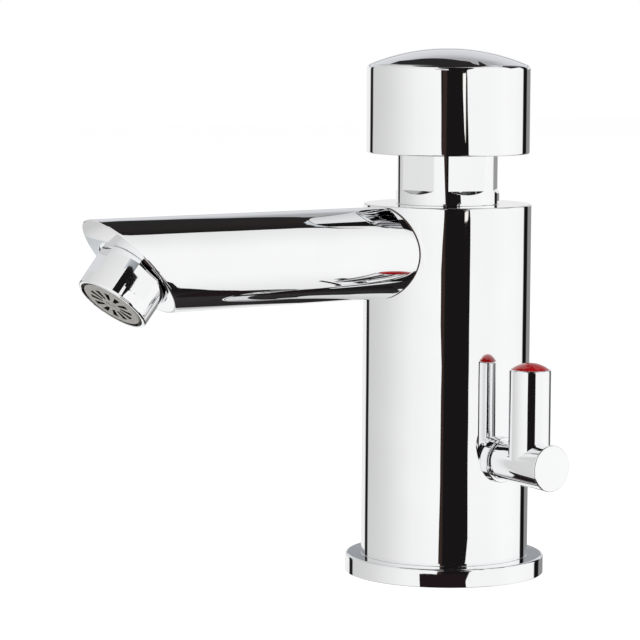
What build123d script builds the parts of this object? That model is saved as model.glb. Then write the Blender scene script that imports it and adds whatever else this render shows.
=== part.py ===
from build123d import *
from math import asin, cos, degrees, pi, radians, sin, sqrt, tan
import os

os.makedirs("parts", exist_ok=True)

# Self-closing basin mixer: a push cap starts the water, a damped piston closes it, and a side lever
# mixes hot and cold. Millimetres, +Z up, origin at the centre of the underside, spout towards -Y,
# lever towards +X.

# Fits that every piece shares
running_gap = 0.05
fixed_gap = 0.03
stop_gap = 0.3
cut_overrun = 2.0

# Column and its flange
body_radius = 25.0
body_top = 110.5
body_edge = 0.5
flange_radius = 29.75
flange_height = 5.4
flange_edge = 0.8
spigot_radius = 22.0
gasket_land = 1.2
gasket_width = 5.0
gasket_thickness = 1.2

# Stepped bore for the timed cartridge, cut from the top of the column
nut_bore_radius = 15.0
nut_bore_floor = 102.3
cartridge_bore_radius = 13.0
seat_floor = 62.0
pressure_chamber_radius = 10.0
pressure_chamber_floor = 47.5
mixed_water_radius = 4.0

# Underside: two threaded inlets with check valves behind them, and the hole of the fixing stud
inlet_offset = 7.5
inlet_thread_radius = 4.5
inlet_thread_length = 12.0
check_valve_length = 8.0
check_valve_step = 0.2
check_valve_bore_radius = 2.4
check_valve_seat_radius = 1.6
check_valve_seat_length = 2.0
inlet_way_radius = 3.5
stud_offset = 12.5
stud_thread_radius = 3.4
stud_thread_length = 16.0

# Spout: a round tube with an oblique flat end
spout_radius = 13.5
spout_axis_height = 96.8
spout_top_reach = 127.0
spout_face_slope = 47.0
spout_bore_radius = 11.3
spout_root_wall = 3.0
spout_tip_wall = 8.4
tenon_radius = 9.0
tenon_length = 6.0
tenon_way_radius = 5.0
tenon_gasket_thickness = 1.0

# Aerator in the oblique end
aerator_shift = 2.4
aerator_lean = 7.0
aerator_collar_radius = 10.9
aerator_collar_length = 11.2
aerator_recess_radius = 11.7
aerator_recess_depth = 1.8
aerator_thread_radius = 10.0
aerator_thread_length = 5.2
aerator_bore_radius = 8.95
aerator_mouth_radius = 9.85
aerator_mouth_depth = 1.6
aerator_edge = 0.35
aerator_flat_half_width = 10.3
aerator_flat_rim = 3.4
aerator_flat_count = 4
aerator_flat_turn = 54.25
aerator_seal_inner_radius = 7.0
aerator_seal_thickness = 1.2
aerator_way_radius = 7.0
insert_length = 5.6
insert_recess = 0.05
insert_slot_count = 12
insert_slot_turn = -5.0
insert_slot_inner_radius = 2.9
insert_slot_outer_radius = 6.7
insert_slot_angle = 15.0
insert_slot_depth = 3.0
insert_core_slot_length = 3.4
insert_core_slot_width = 1.1
insert_core_slot_turn = -40.0
screen_thickness = 0.6
screen_hole_radius = 0.55
screen_ring_radii = (2.2, 4.6, 6.9)
screen_ring_counts = (6, 12, 18)

# Head nut: the neck that screws into the column and carries the stem
nut_radius = 15.4
nut_top = 128.5
nut_foot_height = 4.5
nut_flats_half_width = 14.3
nut_flats_turn = 13.0
nut_thread_radius = 14.9
nut_chamber_radius = 11.0
nut_roof_thickness = 5.0
bush_radius = 5.5
bush_flange_radius = 7.5
bush_flange_thickness = 2.0
o_ring_wire = 1.2

# Push cap and stem
press_travel = 7.0
cap_radius = 24.25
cap_wall = 2.0
cap_overlap = 3.05
cap_skirt_height = 26.0
cap_crown_rise = 5.05
cap_roof_thickness = 2.4
cap_shoulder_round = 1.2
cap_rim_edge = 0.5
cap_boss_radius = 6.5
cap_socket_roof = 5.7
stem_radius = 3.0
stem_top_gap = 1.0
stem_tip_chamfer = 0.6
lock_nut_half_width = 5.0
lock_nut_height = 3.0
clip_radius = 5.2
clip_thickness = 0.8
clip_mouth = 4.0

# Timed cartridge
cartridge_gasket_thickness = 1.0
cartridge_flange_thickness = 1.5
cartridge_flange_radius = 14.7
sleeve_outer_radius = 11.0
sleeve_inner_radius = 9.2
sleeve_foot_height = 2.2
window_width = 9.0
window_height = 6.0
window_count = 4
shelf_thickness = 2.5
shelf_bleed_radius = 0.8
shelf_bleed_circle = 5.2
shelf_bleed_count = 3
piston_height = 5.0
piston_groove_depth = 0.9
piston_groove_height = 1.6
piston_top_gap = 6.0
lip_seal_height = 2.6
lip_seal_inner_radius = 7.0
lip_seal_groove_width = 0.7
lip_seal_groove_depth = 1.4
spring_wire_radius = 0.6
spring_mean_radius = 7.9
spring_turns = 6
spring_biarcs_per_turn = 4

# Valve at the foot of the cartridge
seat_gasket_thickness = 0.8
valve_seat_thickness = 2.5
valve_seat_hole_radius = 5.5
valve_lip_width = 1.0
valve_lip_height = 0.6
washer_radius = 8.0
washer_thickness = 1.6
disc_thickness = 3.0
disc_nut_half_width = 4.5
disc_nut_height = 2.2
stem_tail = 0.6

# Mixing spool and gland, on the lever's axis
lever_axis_height = 36.5
spool_bore_radius = 6.75
spool_bore_end = -10.0
spool_port_half_length = 5.0
gland_length = 12.25
spool_core_radius = 4.0
spool_inlet_half_angle = 63.0
spool_outlet_half_angle = 45.0
spool_shaft_radius = 4.0
spool_shaft_cover = 3.6
spool_flat_depth = 0.8
spool_flat_length = 6.0
spool_groove_inset = 2.4
spool_groove_setback = 3.7
lever_half_swing = 45.0
stop_pin_radius = 0.9
stop_pin_circle = 5.35
stop_pin_reach = 2.4
stop_pin_depth = 3.0
gland_stand = 2.0
gland_edge = 0.4
gland_groove_depth = 7.0

# Lever
lever_start_gap = 0.3
lever_length = 20.7
hub_small_radius = 5.75
hub_large_radius = 6.8
hub_edge = 0.35
rod_place = 10.7
rod_radius = 6.1
rod_top = 64.4
rod_edge = 0.5
index_seat_radius = 5.5
index_seat_depth = 1.2
index_dome_height = 1.9
grub_radius = 2.0
grub_length = 3.0
grub_key_half_width = 1.0
grub_key_depth = 1.4

# Levels and places that follow from the sizes above
nut_flats_bottom = body_top + nut_foot_height
gasket_inner_radius = spigot_radius + gasket_land
gasket_outer_radius = gasket_inner_radius + gasket_width
nut_roof_bottom = nut_top - nut_roof_thickness
lock_nut_bottom = nut_top + press_travel + stop_gap
boss_bottom = lock_nut_bottom + lock_nut_height
bush_bottom = nut_roof_bottom - bush_flange_thickness
cap_bottom = nut_top - cap_overlap
cap_shoulder = cap_bottom + cap_skirt_height
cap_apex = cap_shoulder + cap_crown_rise
cap_ceiling = cap_shoulder - cap_roof_thickness
cap_socket_top = cap_apex - cap_socket_roof
cartridge_flange_bottom = nut_bore_floor + cartridge_gasket_thickness
cartridge_top = cartridge_flange_bottom + cartridge_flange_thickness
valve_seat_bottom = seat_floor + seat_gasket_thickness
valve_seat_top = valve_seat_bottom + valve_seat_thickness
window_bottom = valve_seat_top + sleeve_foot_height
shelf_bottom = window_bottom + window_height
shelf_top = shelf_bottom + shelf_thickness
piston_top = cartridge_top - piston_top_gap
piston_bottom = piston_top - piston_height
valve_lip_bottom = valve_seat_bottom - valve_lip_height
washer_top = valve_lip_bottom - running_gap
washer_bottom = washer_top - washer_thickness
disc_bottom = washer_bottom - disc_thickness
disc_nut_bottom = disc_bottom - disc_nut_height
stem_bottom = disc_nut_bottom - stem_tail
gland_end = body_radius + gland_stand
gland_start = gland_end - gland_length
spool_shoulder = gland_start - running_gap
spool_groove_places = (
    spool_bore_end + spool_groove_inset,
    spool_shoulder - stop_pin_reach - spool_groove_setback,
)
lever_start = gland_end + lever_start_gap
lever_end = lever_start + lever_length
rod_centre = lever_start + rod_place
spool_shaft_end = lever_end - spool_shaft_cover
o_ring_room = o_ring_wire + running_gap + fixed_gap
check_valve_radius = inlet_thread_radius - check_valve_step

# Working planes: spout along the spout, face in its oblique end, aerator across its leaning axis,
# side along the lever
spout_plane = Plane(origin=(0, 0, spout_axis_height), x_dir=(1, 0, 0), z_dir=(0, -1, 0))
face_tilt = radians(spout_face_slope)
face_normal = Vector(0, -sin(face_tilt), -cos(face_tilt))
face_up = Vector(0, -cos(face_tilt), sin(face_tilt))
face_top_point = Vector(0, -spout_top_reach, spout_axis_height + spout_radius)
aerator_centre = face_top_point - face_up * (spout_radius / sin(face_tilt) + aerator_shift)
face_plane = Plane(origin=aerator_centre, x_dir=(1, 0, 0), z_dir=face_normal)
aerator_tilt = radians(spout_face_slope - aerator_lean)
aerator_way_out = Vector(0, -sin(aerator_tilt), -cos(aerator_tilt))
aerator_plane = Plane(origin=aerator_centre, x_dir=(1, 0, 0), z_dir=aerator_way_out)
aerator_section = Plane(
    origin=aerator_centre, x_dir=(1, 0, 0), z_dir=Vector(1, 0, 0).cross(aerator_way_out)
)
aerator_axis = Axis(aerator_centre, aerator_way_out)
aerator_way_end = spout_tip_wall + aerator_way_radius * tan(radians(aerator_lean)) + cut_overrun
insert_radius = aerator_bore_radius - fixed_gap
side_plane = Plane(origin=(0, 0, lever_axis_height), x_dir=(0, 1, 0), z_dir=(1, 0, 0))
side_section = Plane(origin=(0, 0, lever_axis_height), x_dir=(1, 0, 0), z_dir=(0, -1, 0))
side_axis = Axis((0, 0, lever_axis_height), (1, 0, 0))


def ring_step(inner, outer, low, high):
    """Rectangle of a turned profile on an upright section: radii first, then levels."""
    with Locations((inner, low)):
        Rectangle(outer - inner, high - low, align=(Align.MIN, Align.MIN))


def shaft_step(inner, outer, start, end):
    """Rectangle of a turned profile on the lever's section: radii first, then places along X."""
    with Locations((start, inner)):
        Rectangle(end - start, outer - inner, align=(Align.MIN, Align.MIN))


def o_ring_section(first, second):
    """Round section of an O-ring, its centre at the two coordinates of the section's plane."""
    with Locations((first, second)):
        Circle(o_ring_wire / 2)


# Base flange, with a groove for its gasket
with BuildPart() as base_flange:
    with BuildSketch(Plane.XZ):
        ring_step(spigot_radius + fixed_gap, flange_radius, 0, flange_height)
    revolve(axis=Axis.Z)
    with BuildSketch(Plane.XY):
        Circle(gasket_outer_radius + fixed_gap)
        Circle(gasket_inner_radius - fixed_gap, mode=Mode.SUBTRACT)
    extrude(amount=gasket_thickness, mode=Mode.SUBTRACT)
    flange_rim = base_flange.faces().sort_by(Axis.Z)[-1].outer_wire().edges()
    fillet(flange_rim, radius=flange_edge)

with BuildPart() as base_gasket:
    with BuildSketch():
        Circle(gasket_outer_radius)
        Circle(gasket_inner_radius, mode=Mode.SUBTRACT)
    extrude(amount=gasket_thickness)

# Column: turned outside, then bored from above, from below, from the spout's side and from the lever's
with BuildPart() as body:
    with BuildSketch(Plane.XZ):
        ring_step(0, spigot_radius, 0, flange_height)
        ring_step(0, body_radius, flange_height, body_top)
    revolve(axis=Axis.Z)
    body_rim = body.faces().sort_by(Axis.Z)[-1].outer_wire().edges()
    chamfer(body_rim, length=body_edge)
    with BuildSketch(Plane.XZ):
        ring_step(0, nut_bore_radius, nut_bore_floor, body_top + cut_overrun)
        ring_step(0, cartridge_bore_radius, seat_floor, nut_bore_floor)
        ring_step(0, pressure_chamber_radius, pressure_chamber_floor, seat_floor)
        ring_step(0, mixed_water_radius, lever_axis_height, pressure_chamber_floor)
    revolve(axis=Axis.Z, mode=Mode.SUBTRACT)
    with BuildSketch(Plane.XY) as inlet_mouths:
        with Locations((0, -inlet_offset), (0, inlet_offset)):
            Circle(inlet_thread_radius)
    extrude(amount=inlet_thread_length, mode=Mode.SUBTRACT)
    with BuildSketch(Plane.XY) as check_valve_pockets:
        with Locations((0, -inlet_offset), (0, inlet_offset)):
            Circle(check_valve_radius)
    extrude(amount=inlet_thread_length + check_valve_length, mode=Mode.SUBTRACT)
    with BuildSketch(Plane.XY) as inlet_ways:
        with Locations((0, -inlet_offset), (0, inlet_offset)):
            Circle(inlet_way_radius)
    extrude(amount=lever_axis_height, mode=Mode.SUBTRACT)
    with BuildSketch(Plane.XY) as stud_mouth:
        with Locations((-stud_offset, 0)):
            Circle(stud_thread_radius)
    extrude(amount=stud_thread_length, mode=Mode.SUBTRACT)
    with BuildSketch(side_plane.offset(spool_bore_end)):
        Circle(spool_bore_radius)
    extrude(amount=body_radius - spool_bore_end + cut_overrun, mode=Mode.SUBTRACT)
    with BuildSketch(spout_plane.offset(body_radius - tenon_length)):
        Circle(tenon_radius + fixed_gap)
    extrude(amount=tenon_length + cut_overrun, mode=Mode.SUBTRACT)
    with BuildSketch(spout_plane):
        Circle(tenon_way_radius)
    extrude(amount=body_radius, mode=Mode.SUBTRACT)

# Spout: coped onto the column, closed at its oblique tip but for the aerator's threaded hole
with BuildPart() as spout_hollow:
    with BuildSketch(spout_plane.offset(body_radius + spout_root_wall)):
        Circle(spout_bore_radius)
    extrude(amount=spout_top_reach)
    split(bisect_by=face_plane.offset(-spout_tip_wall), keep=Keep.BOTTOM)

with BuildPart() as spout:
    with BuildSketch(spout_plane):
        Circle(spout_radius)
    extrude(amount=spout_top_reach + spout_radius)
    split(bisect_by=face_plane, keep=Keep.BOTTOM)
    with BuildSketch(Plane.XY):
        Circle(body_radius + fixed_gap)
    extrude(amount=body_top + cut_overrun, mode=Mode.SUBTRACT)
    with BuildSketch(spout_plane.offset(body_radius - tenon_length + tenon_gasket_thickness)):
        Circle(tenon_radius)
    extrude(amount=tenon_length + spout_root_wall)
    with BuildSketch(spout_plane):
        Circle(tenon_way_radius)
    extrude(amount=body_radius + spout_root_wall + cut_overrun, mode=Mode.SUBTRACT)
    add(spout_hollow.part, mode=Mode.SUBTRACT)
    with BuildSketch(aerator_section):
        ring_step(0, aerator_recess_radius, -aerator_recess_depth, cut_overrun)
        ring_step(0, aerator_thread_radius + fixed_gap, -aerator_thread_length - aerator_seal_thickness, 0)
        ring_step(0, aerator_way_radius, -aerator_way_end, 0)
    revolve(axis=aerator_axis, mode=Mode.SUBTRACT)

with BuildPart() as spout_gasket:
    with BuildSketch(spout_plane.offset(body_radius - tenon_length)):
        Circle(tenon_radius)
        Circle(tenon_way_radius, mode=Mode.SUBTRACT)
    extrude(amount=tenon_gasket_thickness)

# Aerator: collar with spanner flats, plastic grille, screen and seal
collar_end = aerator_collar_length
mouth_floor = collar_end - aerator_mouth_depth
with BuildPart() as aerator_collar:
    with BuildSketch(aerator_section):
        ring_step(aerator_bore_radius, aerator_thread_radius, -aerator_thread_length, 0)
        ring_step(aerator_bore_radius, aerator_collar_radius, -aerator_recess_depth, mouth_floor)
        ring_step(aerator_mouth_radius, aerator_collar_radius, mouth_floor, collar_end)
    revolve(axis=aerator_axis)
    collar_rim = aerator_collar.faces().sort_by(aerator_axis)[-1].edges()
    chamfer(collar_rim, length=aerator_edge)
    with BuildSketch(aerator_plane.offset(-aerator_recess_depth)):
        Circle(aerator_collar_radius + cut_overrun)
        RegularPolygon(
            aerator_flat_half_width,
            aerator_flat_count,
            major_radius=False,
            rotation=aerator_flat_turn,
            mode=Mode.SUBTRACT,
        )
    extrude(amount=collar_end - aerator_flat_rim + aerator_recess_depth, mode=Mode.SUBTRACT)

insert_face = collar_end - insert_recess
slot_half_width = insert_radius * sin(radians(insert_slot_angle / 2))
with BuildPart() as aerator_insert:
    with BuildSketch(aerator_plane.offset(insert_face - insert_length)):
        Circle(insert_radius)
    extrude(amount=insert_length)
    with BuildSketch(aerator_plane.offset(insert_face - insert_slot_depth)):
        with PolarLocations(0, insert_slot_count, start_angle=insert_slot_turn):
            Polygon((0, 0), (insert_radius, -slot_half_width), (insert_radius, slot_half_width), align=None)
        Circle(insert_slot_outer_radius, mode=Mode.INTERSECT)
        Circle(insert_slot_inner_radius, mode=Mode.SUBTRACT)
        Rectangle(insert_core_slot_length, insert_core_slot_width, rotation=insert_core_slot_turn)
    extrude(amount=insert_slot_depth, mode=Mode.SUBTRACT)

with BuildPart() as aerator_screen:
    with BuildSketch(aerator_plane.offset(insert_face - insert_length - screen_thickness)):
        Circle(insert_radius)
        for ring_radius, ring_count in zip(screen_ring_radii, screen_ring_counts):
            with PolarLocations(ring_radius, ring_count):
                Circle(screen_hole_radius, mode=Mode.SUBTRACT)
    extrude(amount=screen_thickness)

with BuildPart() as aerator_seal:
    with BuildSketch(aerator_plane.offset(-aerator_thread_length - aerator_seal_thickness)):
        Circle(aerator_thread_radius)
        Circle(aerator_seal_inner_radius, mode=Mode.SUBTRACT)
    extrude(amount=aerator_seal_thickness)

# Head nut with its guide bush
with BuildPart() as head_nut:
    with BuildSketch(Plane.XZ):
        ring_step(nut_chamber_radius, nut_thread_radius, cartridge_top, body_top)
        ring_step(nut_chamber_radius, nut_radius, body_top, nut_roof_bottom)
        ring_step(bush_radius + fixed_gap, nut_radius, nut_roof_bottom, nut_top)
    revolve(axis=Axis.Z)
    with BuildSketch(Plane.XY.offset(nut_flats_bottom)):
        Circle(nut_radius + cut_overrun)
        RegularPolygon(
            nut_flats_half_width, 6, major_radius=False, rotation=nut_flats_turn, mode=Mode.SUBTRACT
        )
    extrude(amount=nut_top - nut_flats_bottom, mode=Mode.SUBTRACT)

bush_groove_level = nut_roof_bottom + nut_roof_thickness / 2
with BuildPart() as guide_bush:
    with BuildSketch(Plane.XZ):
        ring_step(stem_radius + running_gap, bush_flange_radius, bush_bottom, nut_roof_bottom)
        ring_step(stem_radius + running_gap, bush_radius, nut_roof_bottom, nut_top)
        with Locations((stem_radius, bush_groove_level)):
            Rectangle(o_ring_room, o_ring_room, align=(Align.MIN, Align.CENTER), mode=Mode.SUBTRACT)
    revolve(axis=Axis.Z)

with BuildPart() as stem_o_ring:
    with BuildSketch(Plane.XZ):
        o_ring_section(stem_radius + running_gap + o_ring_wire / 2, bush_groove_level)
    revolve(axis=Axis.Z)

# Cartridge sleeve: flange under the head nut, cylinder of the piston, shelf, windows and foot
with BuildPart() as cartridge_gasket:
    with BuildSketch(Plane.XY.offset(nut_bore_floor)):
        Circle(cartridge_flange_radius)
        Circle(cartridge_bore_radius, mode=Mode.SUBTRACT)
    extrude(amount=cartridge_gasket_thickness)

with BuildPart() as cartridge_sleeve:
    with BuildSketch(Plane.XZ):
        ring_step(
            sleeve_inner_radius, cartridge_flange_radius, cartridge_flange_bottom, cartridge_top
        )
        ring_step(sleeve_inner_radius, sleeve_outer_radius, valve_seat_top, cartridge_flange_bottom)
        ring_step(
            sleeve_inner_radius, cartridge_bore_radius - fixed_gap, valve_seat_top, window_bottom
        )
        ring_step(stem_radius + running_gap, sleeve_inner_radius, shelf_bottom, shelf_top)
    revolve(axis=Axis.Z)
    with BuildSketch(Plane.XY.offset(window_bottom)):
        with PolarLocations(sleeve_inner_radius, window_count):
            Rectangle(sleeve_inner_radius, window_width)
    extrude(amount=window_height, mode=Mode.SUBTRACT)
    with BuildSketch(Plane.XY.offset(shelf_bottom)):
        with PolarLocations(shelf_bleed_circle, shelf_bleed_count):
            Circle(shelf_bleed_radius)
    extrude(amount=shelf_thickness, mode=Mode.SUBTRACT)

# Valve seat on the step of the bore, with its gasket
with BuildPart() as seat_gasket:
    with BuildSketch(Plane.XY.offset(seat_floor)):
        Circle(cartridge_bore_radius - fixed_gap)
        Circle(pressure_chamber_radius, mode=Mode.SUBTRACT)
    extrude(amount=seat_gasket_thickness)

with BuildPart() as valve_seat:
    with BuildSketch(Plane.XZ):
        ring_step(
            valve_seat_hole_radius,
            cartridge_bore_radius - fixed_gap,
            valve_seat_bottom,
            valve_seat_top,
        )
        ring_step(
            valve_seat_hole_radius,
            valve_seat_hole_radius + valve_lip_width,
            valve_lip_bottom,
            valve_seat_bottom,
        )
    revolve(axis=Axis.Z)

# Moving train: cap, stem, lock nut, clips, piston with lip seal, closing disc with washer and nut
with BuildPart() as push_cap:
    with BuildSketch(Plane.XZ):
        with BuildLine():
            crown_rim = (cap_radius - cap_shoulder_round, cap_shoulder + cap_shoulder_round / 2)
            Line((0, cap_ceiling), (0, cap_apex))
            crown_rise = cap_apex - crown_rim[1]
            crown_curve = (crown_rim[0] ** 2 + crown_rise**2) / (2 * crown_rise)
            crown_middle = crown_rim[0] / 2
            crown_drop = crown_curve - sqrt(crown_curve**2 - crown_middle**2)
            ThreePointArc((0, cap_apex), (crown_middle, cap_apex - crown_drop), crown_rim)
            Polyline(
                crown_rim,
                (cap_radius, cap_shoulder - cap_shoulder_round / 2),
                (cap_radius, cap_bottom),
                (cap_radius - cap_wall, cap_bottom),
                (cap_radius - cap_wall, cap_ceiling),
                (0, cap_ceiling),
            )
        make_face()
        ring_step(0, cap_boss_radius, boss_bottom, cap_ceiling)
        with Locations((0, boss_bottom)):
            Rectangle(
                stem_radius + fixed_gap,
                cap_socket_top - boss_bottom,
                align=(Align.MIN, Align.MIN),
                mode=Mode.SUBTRACT,
            )
    revolve(axis=Axis.Z)
    chamfer(push_cap.faces().sort_by(Axis.Z)[0].outer_wire().edges(), length=cap_rim_edge)

with BuildPart() as push_stem:
    with BuildSketch(Plane.XY.offset(stem_bottom)):
        Circle(stem_radius)
    extrude(amount=cap_socket_top - stem_top_gap - stem_bottom)
    chamfer(push_stem.faces().sort_by(Axis.Z)[-1].edges(), length=stem_tip_chamfer)
    chamfer(push_stem.faces().sort_by(Axis.Z)[0].edges(), length=stem_tip_chamfer / 2)

with BuildPart() as stem_lock_nut:
    with BuildSketch(Plane.XY.offset(lock_nut_bottom)):
        RegularPolygon(lock_nut_half_width, 6, major_radius=False)
        Circle(stem_radius + fixed_gap, mode=Mode.SUBTRACT)
    extrude(amount=lock_nut_height)


def clip_section():
    """Open retaining clip round the stem."""
    Circle(clip_radius)
    Circle(stem_radius + fixed_gap, mode=Mode.SUBTRACT)
    with Locations((clip_radius, 0)):
        Rectangle(clip_radius * 2, clip_mouth, mode=Mode.SUBTRACT)


with BuildPart() as stem_clip:
    with BuildSketch(Plane.XY.offset(bush_bottom - stop_gap - clip_thickness)):
        clip_section()
    extrude(amount=clip_thickness)

with BuildPart() as piston_clips:
    for clip_level in (piston_bottom - clip_thickness, piston_top):
        with BuildSketch(Plane.XY.offset(clip_level)):
            clip_section()
        extrude(amount=clip_thickness)

with BuildPart() as piston:
    with BuildSketch(Plane.XZ):
        ring_step(stem_radius + fixed_gap, sleeve_inner_radius - running_gap, piston_bottom, piston_top)
        with Locations((sleeve_inner_radius, piston_bottom + piston_height / 2)):
            Rectangle(
                (piston_groove_depth + running_gap) * 2, piston_groove_height, mode=Mode.SUBTRACT
            )
    revolve(axis=Axis.Z)

with BuildPart() as piston_lip_seal:
    with BuildSketch(Plane.XZ):
        ring_step(
            lip_seal_inner_radius,
            sleeve_inner_radius - running_gap,
            piston_top,
            piston_top + lip_seal_height,
        )
        lip_middle = (lip_seal_inner_radius + sleeve_inner_radius) / 2
        with Locations((lip_middle, piston_top + lip_seal_height)):
            Rectangle(lip_seal_groove_width, lip_seal_groove_depth * 2, mode=Mode.SUBTRACT)
    revolve(axis=Axis.Z)

with BuildPart() as seat_washer:
    with BuildSketch(Plane.XY.offset(washer_bottom)):
        Circle(washer_radius)
        Circle(stem_radius + fixed_gap, mode=Mode.SUBTRACT)
    extrude(amount=washer_thickness)

with BuildPart() as closing_disc:
    with BuildSketch(Plane.XZ):
        ring_step(stem_radius + fixed_gap, washer_radius, disc_bottom, washer_bottom)
    revolve(axis=Axis.Z)
    chamfer(closing_disc.faces().sort_by(Axis.Z)[0].outer_wire().edges(), length=disc_thickness / 2)

with BuildPart() as closing_disc_nut:
    with BuildSketch(Plane.XY.offset(disc_nut_bottom)):
        RegularPolygon(disc_nut_half_width, 6, major_radius=False)
        Circle(stem_radius + fixed_gap, mode=Mode.SUBTRACT)
    extrude(amount=disc_nut_height)

# Return spring between the shelf and the piston, one wire along a helix of biarcs
spring_foot = shelf_top + spring_wire_radius + fixed_gap
spring_head = piston_bottom - clip_thickness - spring_wire_radius - fixed_gap
spring_pitch = (spring_head - spring_foot) / spring_turns


def helix_point(turn):
    """Centre of the wire after the given number of turns."""
    angle = 2 * pi * turn
    return Vector(
        spring_mean_radius * cos(angle),
        spring_mean_radius * sin(angle),
        spring_foot + spring_pitch * turn,
    )


def helix_direction(turn):
    """Unit tangent of the wire after the given number of turns."""
    angle = 2 * pi * turn
    along = 2 * pi * spring_mean_radius
    return Vector(-along * sin(angle), along * cos(angle), spring_pitch).normalized()


def biarc_joint(start, start_way, end, end_way):
    """Point where two arcs meet that join two points with the given directions."""
    chord = end - start
    both = start_way + end_way
    slack = 2 * (1 - start_way.dot(end_way))
    reach = (sqrt(chord.dot(both) ** 2 + slack * chord.dot(chord)) - chord.dot(both)) / slack
    return (start + end + (start_way - end_way) * reach) * 0.5, reach


with BuildPart() as return_spring:
    with BuildLine() as spring_wire:
        for step in range(spring_turns * spring_biarcs_per_turn):
            turn_from = step / spring_biarcs_per_turn
            turn_to = (step + 1) / spring_biarcs_per_turn
            point_from = helix_point(turn_from)
            point_to = helix_point(turn_to)
            way_from = helix_direction(turn_from)
            way_to = helix_direction(turn_to)
            meeting, arc_reach = biarc_joint(point_from, way_from, point_to, way_to)
            way_between = (point_to - way_to * arc_reach) - (point_from + way_from * arc_reach)
            TangentArc(point_from, meeting, tangent=way_from)
            TangentArc(meeting, point_to, tangent=way_between)
    with BuildSketch(Plane(origin=helix_point(0), z_dir=helix_direction(0))):
        Circle(spring_wire_radius)
    sweep()

spring_gap = spring_pitch - 2 * spring_wire_radius
print(f"return spring: least gap between its turns {spring_gap:.2f} mm")

# Check valves in the inlets
for side, side_name in ((-1, "hot_check_valve"), (1, "cold_check_valve")):
    valve_plane = Plane(origin=(0, side * inlet_offset, 0), x_dir=(1, 0, 0), z_dir=(0, -1, 0))
    valve_axis = Axis((0, side * inlet_offset, 0), (0, 0, 1))
    valve_low = inlet_thread_length
    valve_high = inlet_thread_length + check_valve_length
    with BuildPart() as check_valve:
        with BuildSketch(valve_plane):
            ring_step(check_valve_bore_radius, check_valve_radius - fixed_gap, valve_low, valve_high)
            ring_step(
                check_valve_seat_radius,
                check_valve_bore_radius,
                valve_low,
                valve_low + check_valve_seat_length,
            )
        revolve(axis=valve_axis)
    check_valve.part.label = side_name
    export_step(check_valve.part, f"parts/{side_name}.step")

# Gland: screwed into the column, carries the shaft and ends the spool's bore
gland_groove_place = gland_start + gland_groove_depth
with BuildPart() as side_gland:
    with BuildSketch(side_section):
        shaft_step(
            spool_shaft_radius + running_gap, spool_bore_radius - fixed_gap, gland_start, gland_end
        )
        with Locations((gland_groove_place, spool_shaft_radius)):
            Rectangle(o_ring_room, o_ring_room, align=(Align.CENTER, Align.MIN), mode=Mode.SUBTRACT)
    revolve(axis=side_axis)
    chamfer(side_gland.faces().sort_by(Axis.X)[-1].outer_wire().edges(), length=gland_edge)
    with BuildSketch(side_plane.offset(gland_start)):
        with Locations((0, -stop_pin_circle)):
            Circle(stop_pin_radius + fixed_gap)
    extrude(amount=stop_pin_depth, mode=Mode.SUBTRACT)

with BuildPart() as gland_o_ring:
    with BuildSketch(side_section):
        o_ring_section(gland_groove_place, spool_shaft_radius + running_gap + o_ring_wire / 2)
    revolve(axis=side_axis)

with BuildPart() as stop_pin:
    with BuildSketch(side_plane.offset(spool_shoulder - stop_pin_reach + stop_gap)):
        with Locations((0, -stop_pin_circle)):
            Circle(stop_pin_radius)
    extrude(amount=stop_pin_reach + stop_pin_depth - stop_gap)

# Mixing spool: two journals, ported middle, shaft with a flat for the grub screw
pin_half_angle = degrees(asin((stop_pin_radius + running_gap) / stop_pin_circle))
with BuildPart() as mixing_spool:
    with BuildSketch(side_section):
        shaft_step(0, spool_bore_radius - running_gap, spool_bore_end + stop_gap, spool_shoulder)
        shaft_step(0, spool_shaft_radius, spool_shoulder, spool_shaft_end)
        for groove_place in spool_groove_places:
            with Locations((groove_place, spool_bore_radius)):
                Rectangle(o_ring_room, o_ring_room, align=(Align.CENTER, Align.MAX), mode=Mode.SUBTRACT)
    revolve(axis=side_axis)
    with BuildSketch(side_plane.offset(-spool_port_half_length)):
        Circle(spool_core_radius)
        for middle, half_angle in ((-90, spool_inlet_half_angle), (90, spool_outlet_half_angle)):
            with BuildLine():
                port_arc = CenterArc(
                    (0, 0), spool_bore_radius + cut_overrun, middle - half_angle, 2 * half_angle
                )
                Line((0, 0), port_arc @ 0)
                Line(port_arc @ 1, (0, 0))
            make_face()
    extrude(amount=2 * spool_port_half_length, mode=Mode.SUBTRACT)
    with BuildSketch(side_plane.offset(spool_shoulder - stop_pin_reach)):
        slot_half_angle = lever_half_swing + pin_half_angle
        with BuildLine():
            for slot_side in (-1, 1):
                slot_radius = stop_pin_circle + slot_side * (stop_pin_radius + running_gap)
                CenterArc((0, 0), slot_radius, -90 - slot_half_angle, 2 * slot_half_angle)
            for slot_end in (-1, 1):
                end_angle = radians(-90 + slot_end * slot_half_angle)
                slot_inner = stop_pin_circle - stop_pin_radius - running_gap
                slot_outer = stop_pin_circle + stop_pin_radius + running_gap
                Line(
                    (slot_inner * cos(end_angle), slot_inner * sin(end_angle)),
                    (slot_outer * cos(end_angle), slot_outer * sin(end_angle)),
                )
        make_face()
    extrude(amount=stop_pin_reach, mode=Mode.SUBTRACT)
    with BuildSketch(side_plane.offset(rod_centre - spool_flat_length / 2)):
        with Locations((0, -spool_shaft_radius)):
            Rectangle(spool_shaft_radius * 2, spool_flat_depth * 2)
    extrude(amount=spool_flat_length, mode=Mode.SUBTRACT)

with BuildPart() as spool_o_rings:
    for groove_place in spool_groove_places:
        with BuildSketch(side_section):
            o_ring_section(groove_place, spool_bore_radius - running_gap - o_ring_wire / 2)
        revolve(axis=side_axis)

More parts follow.
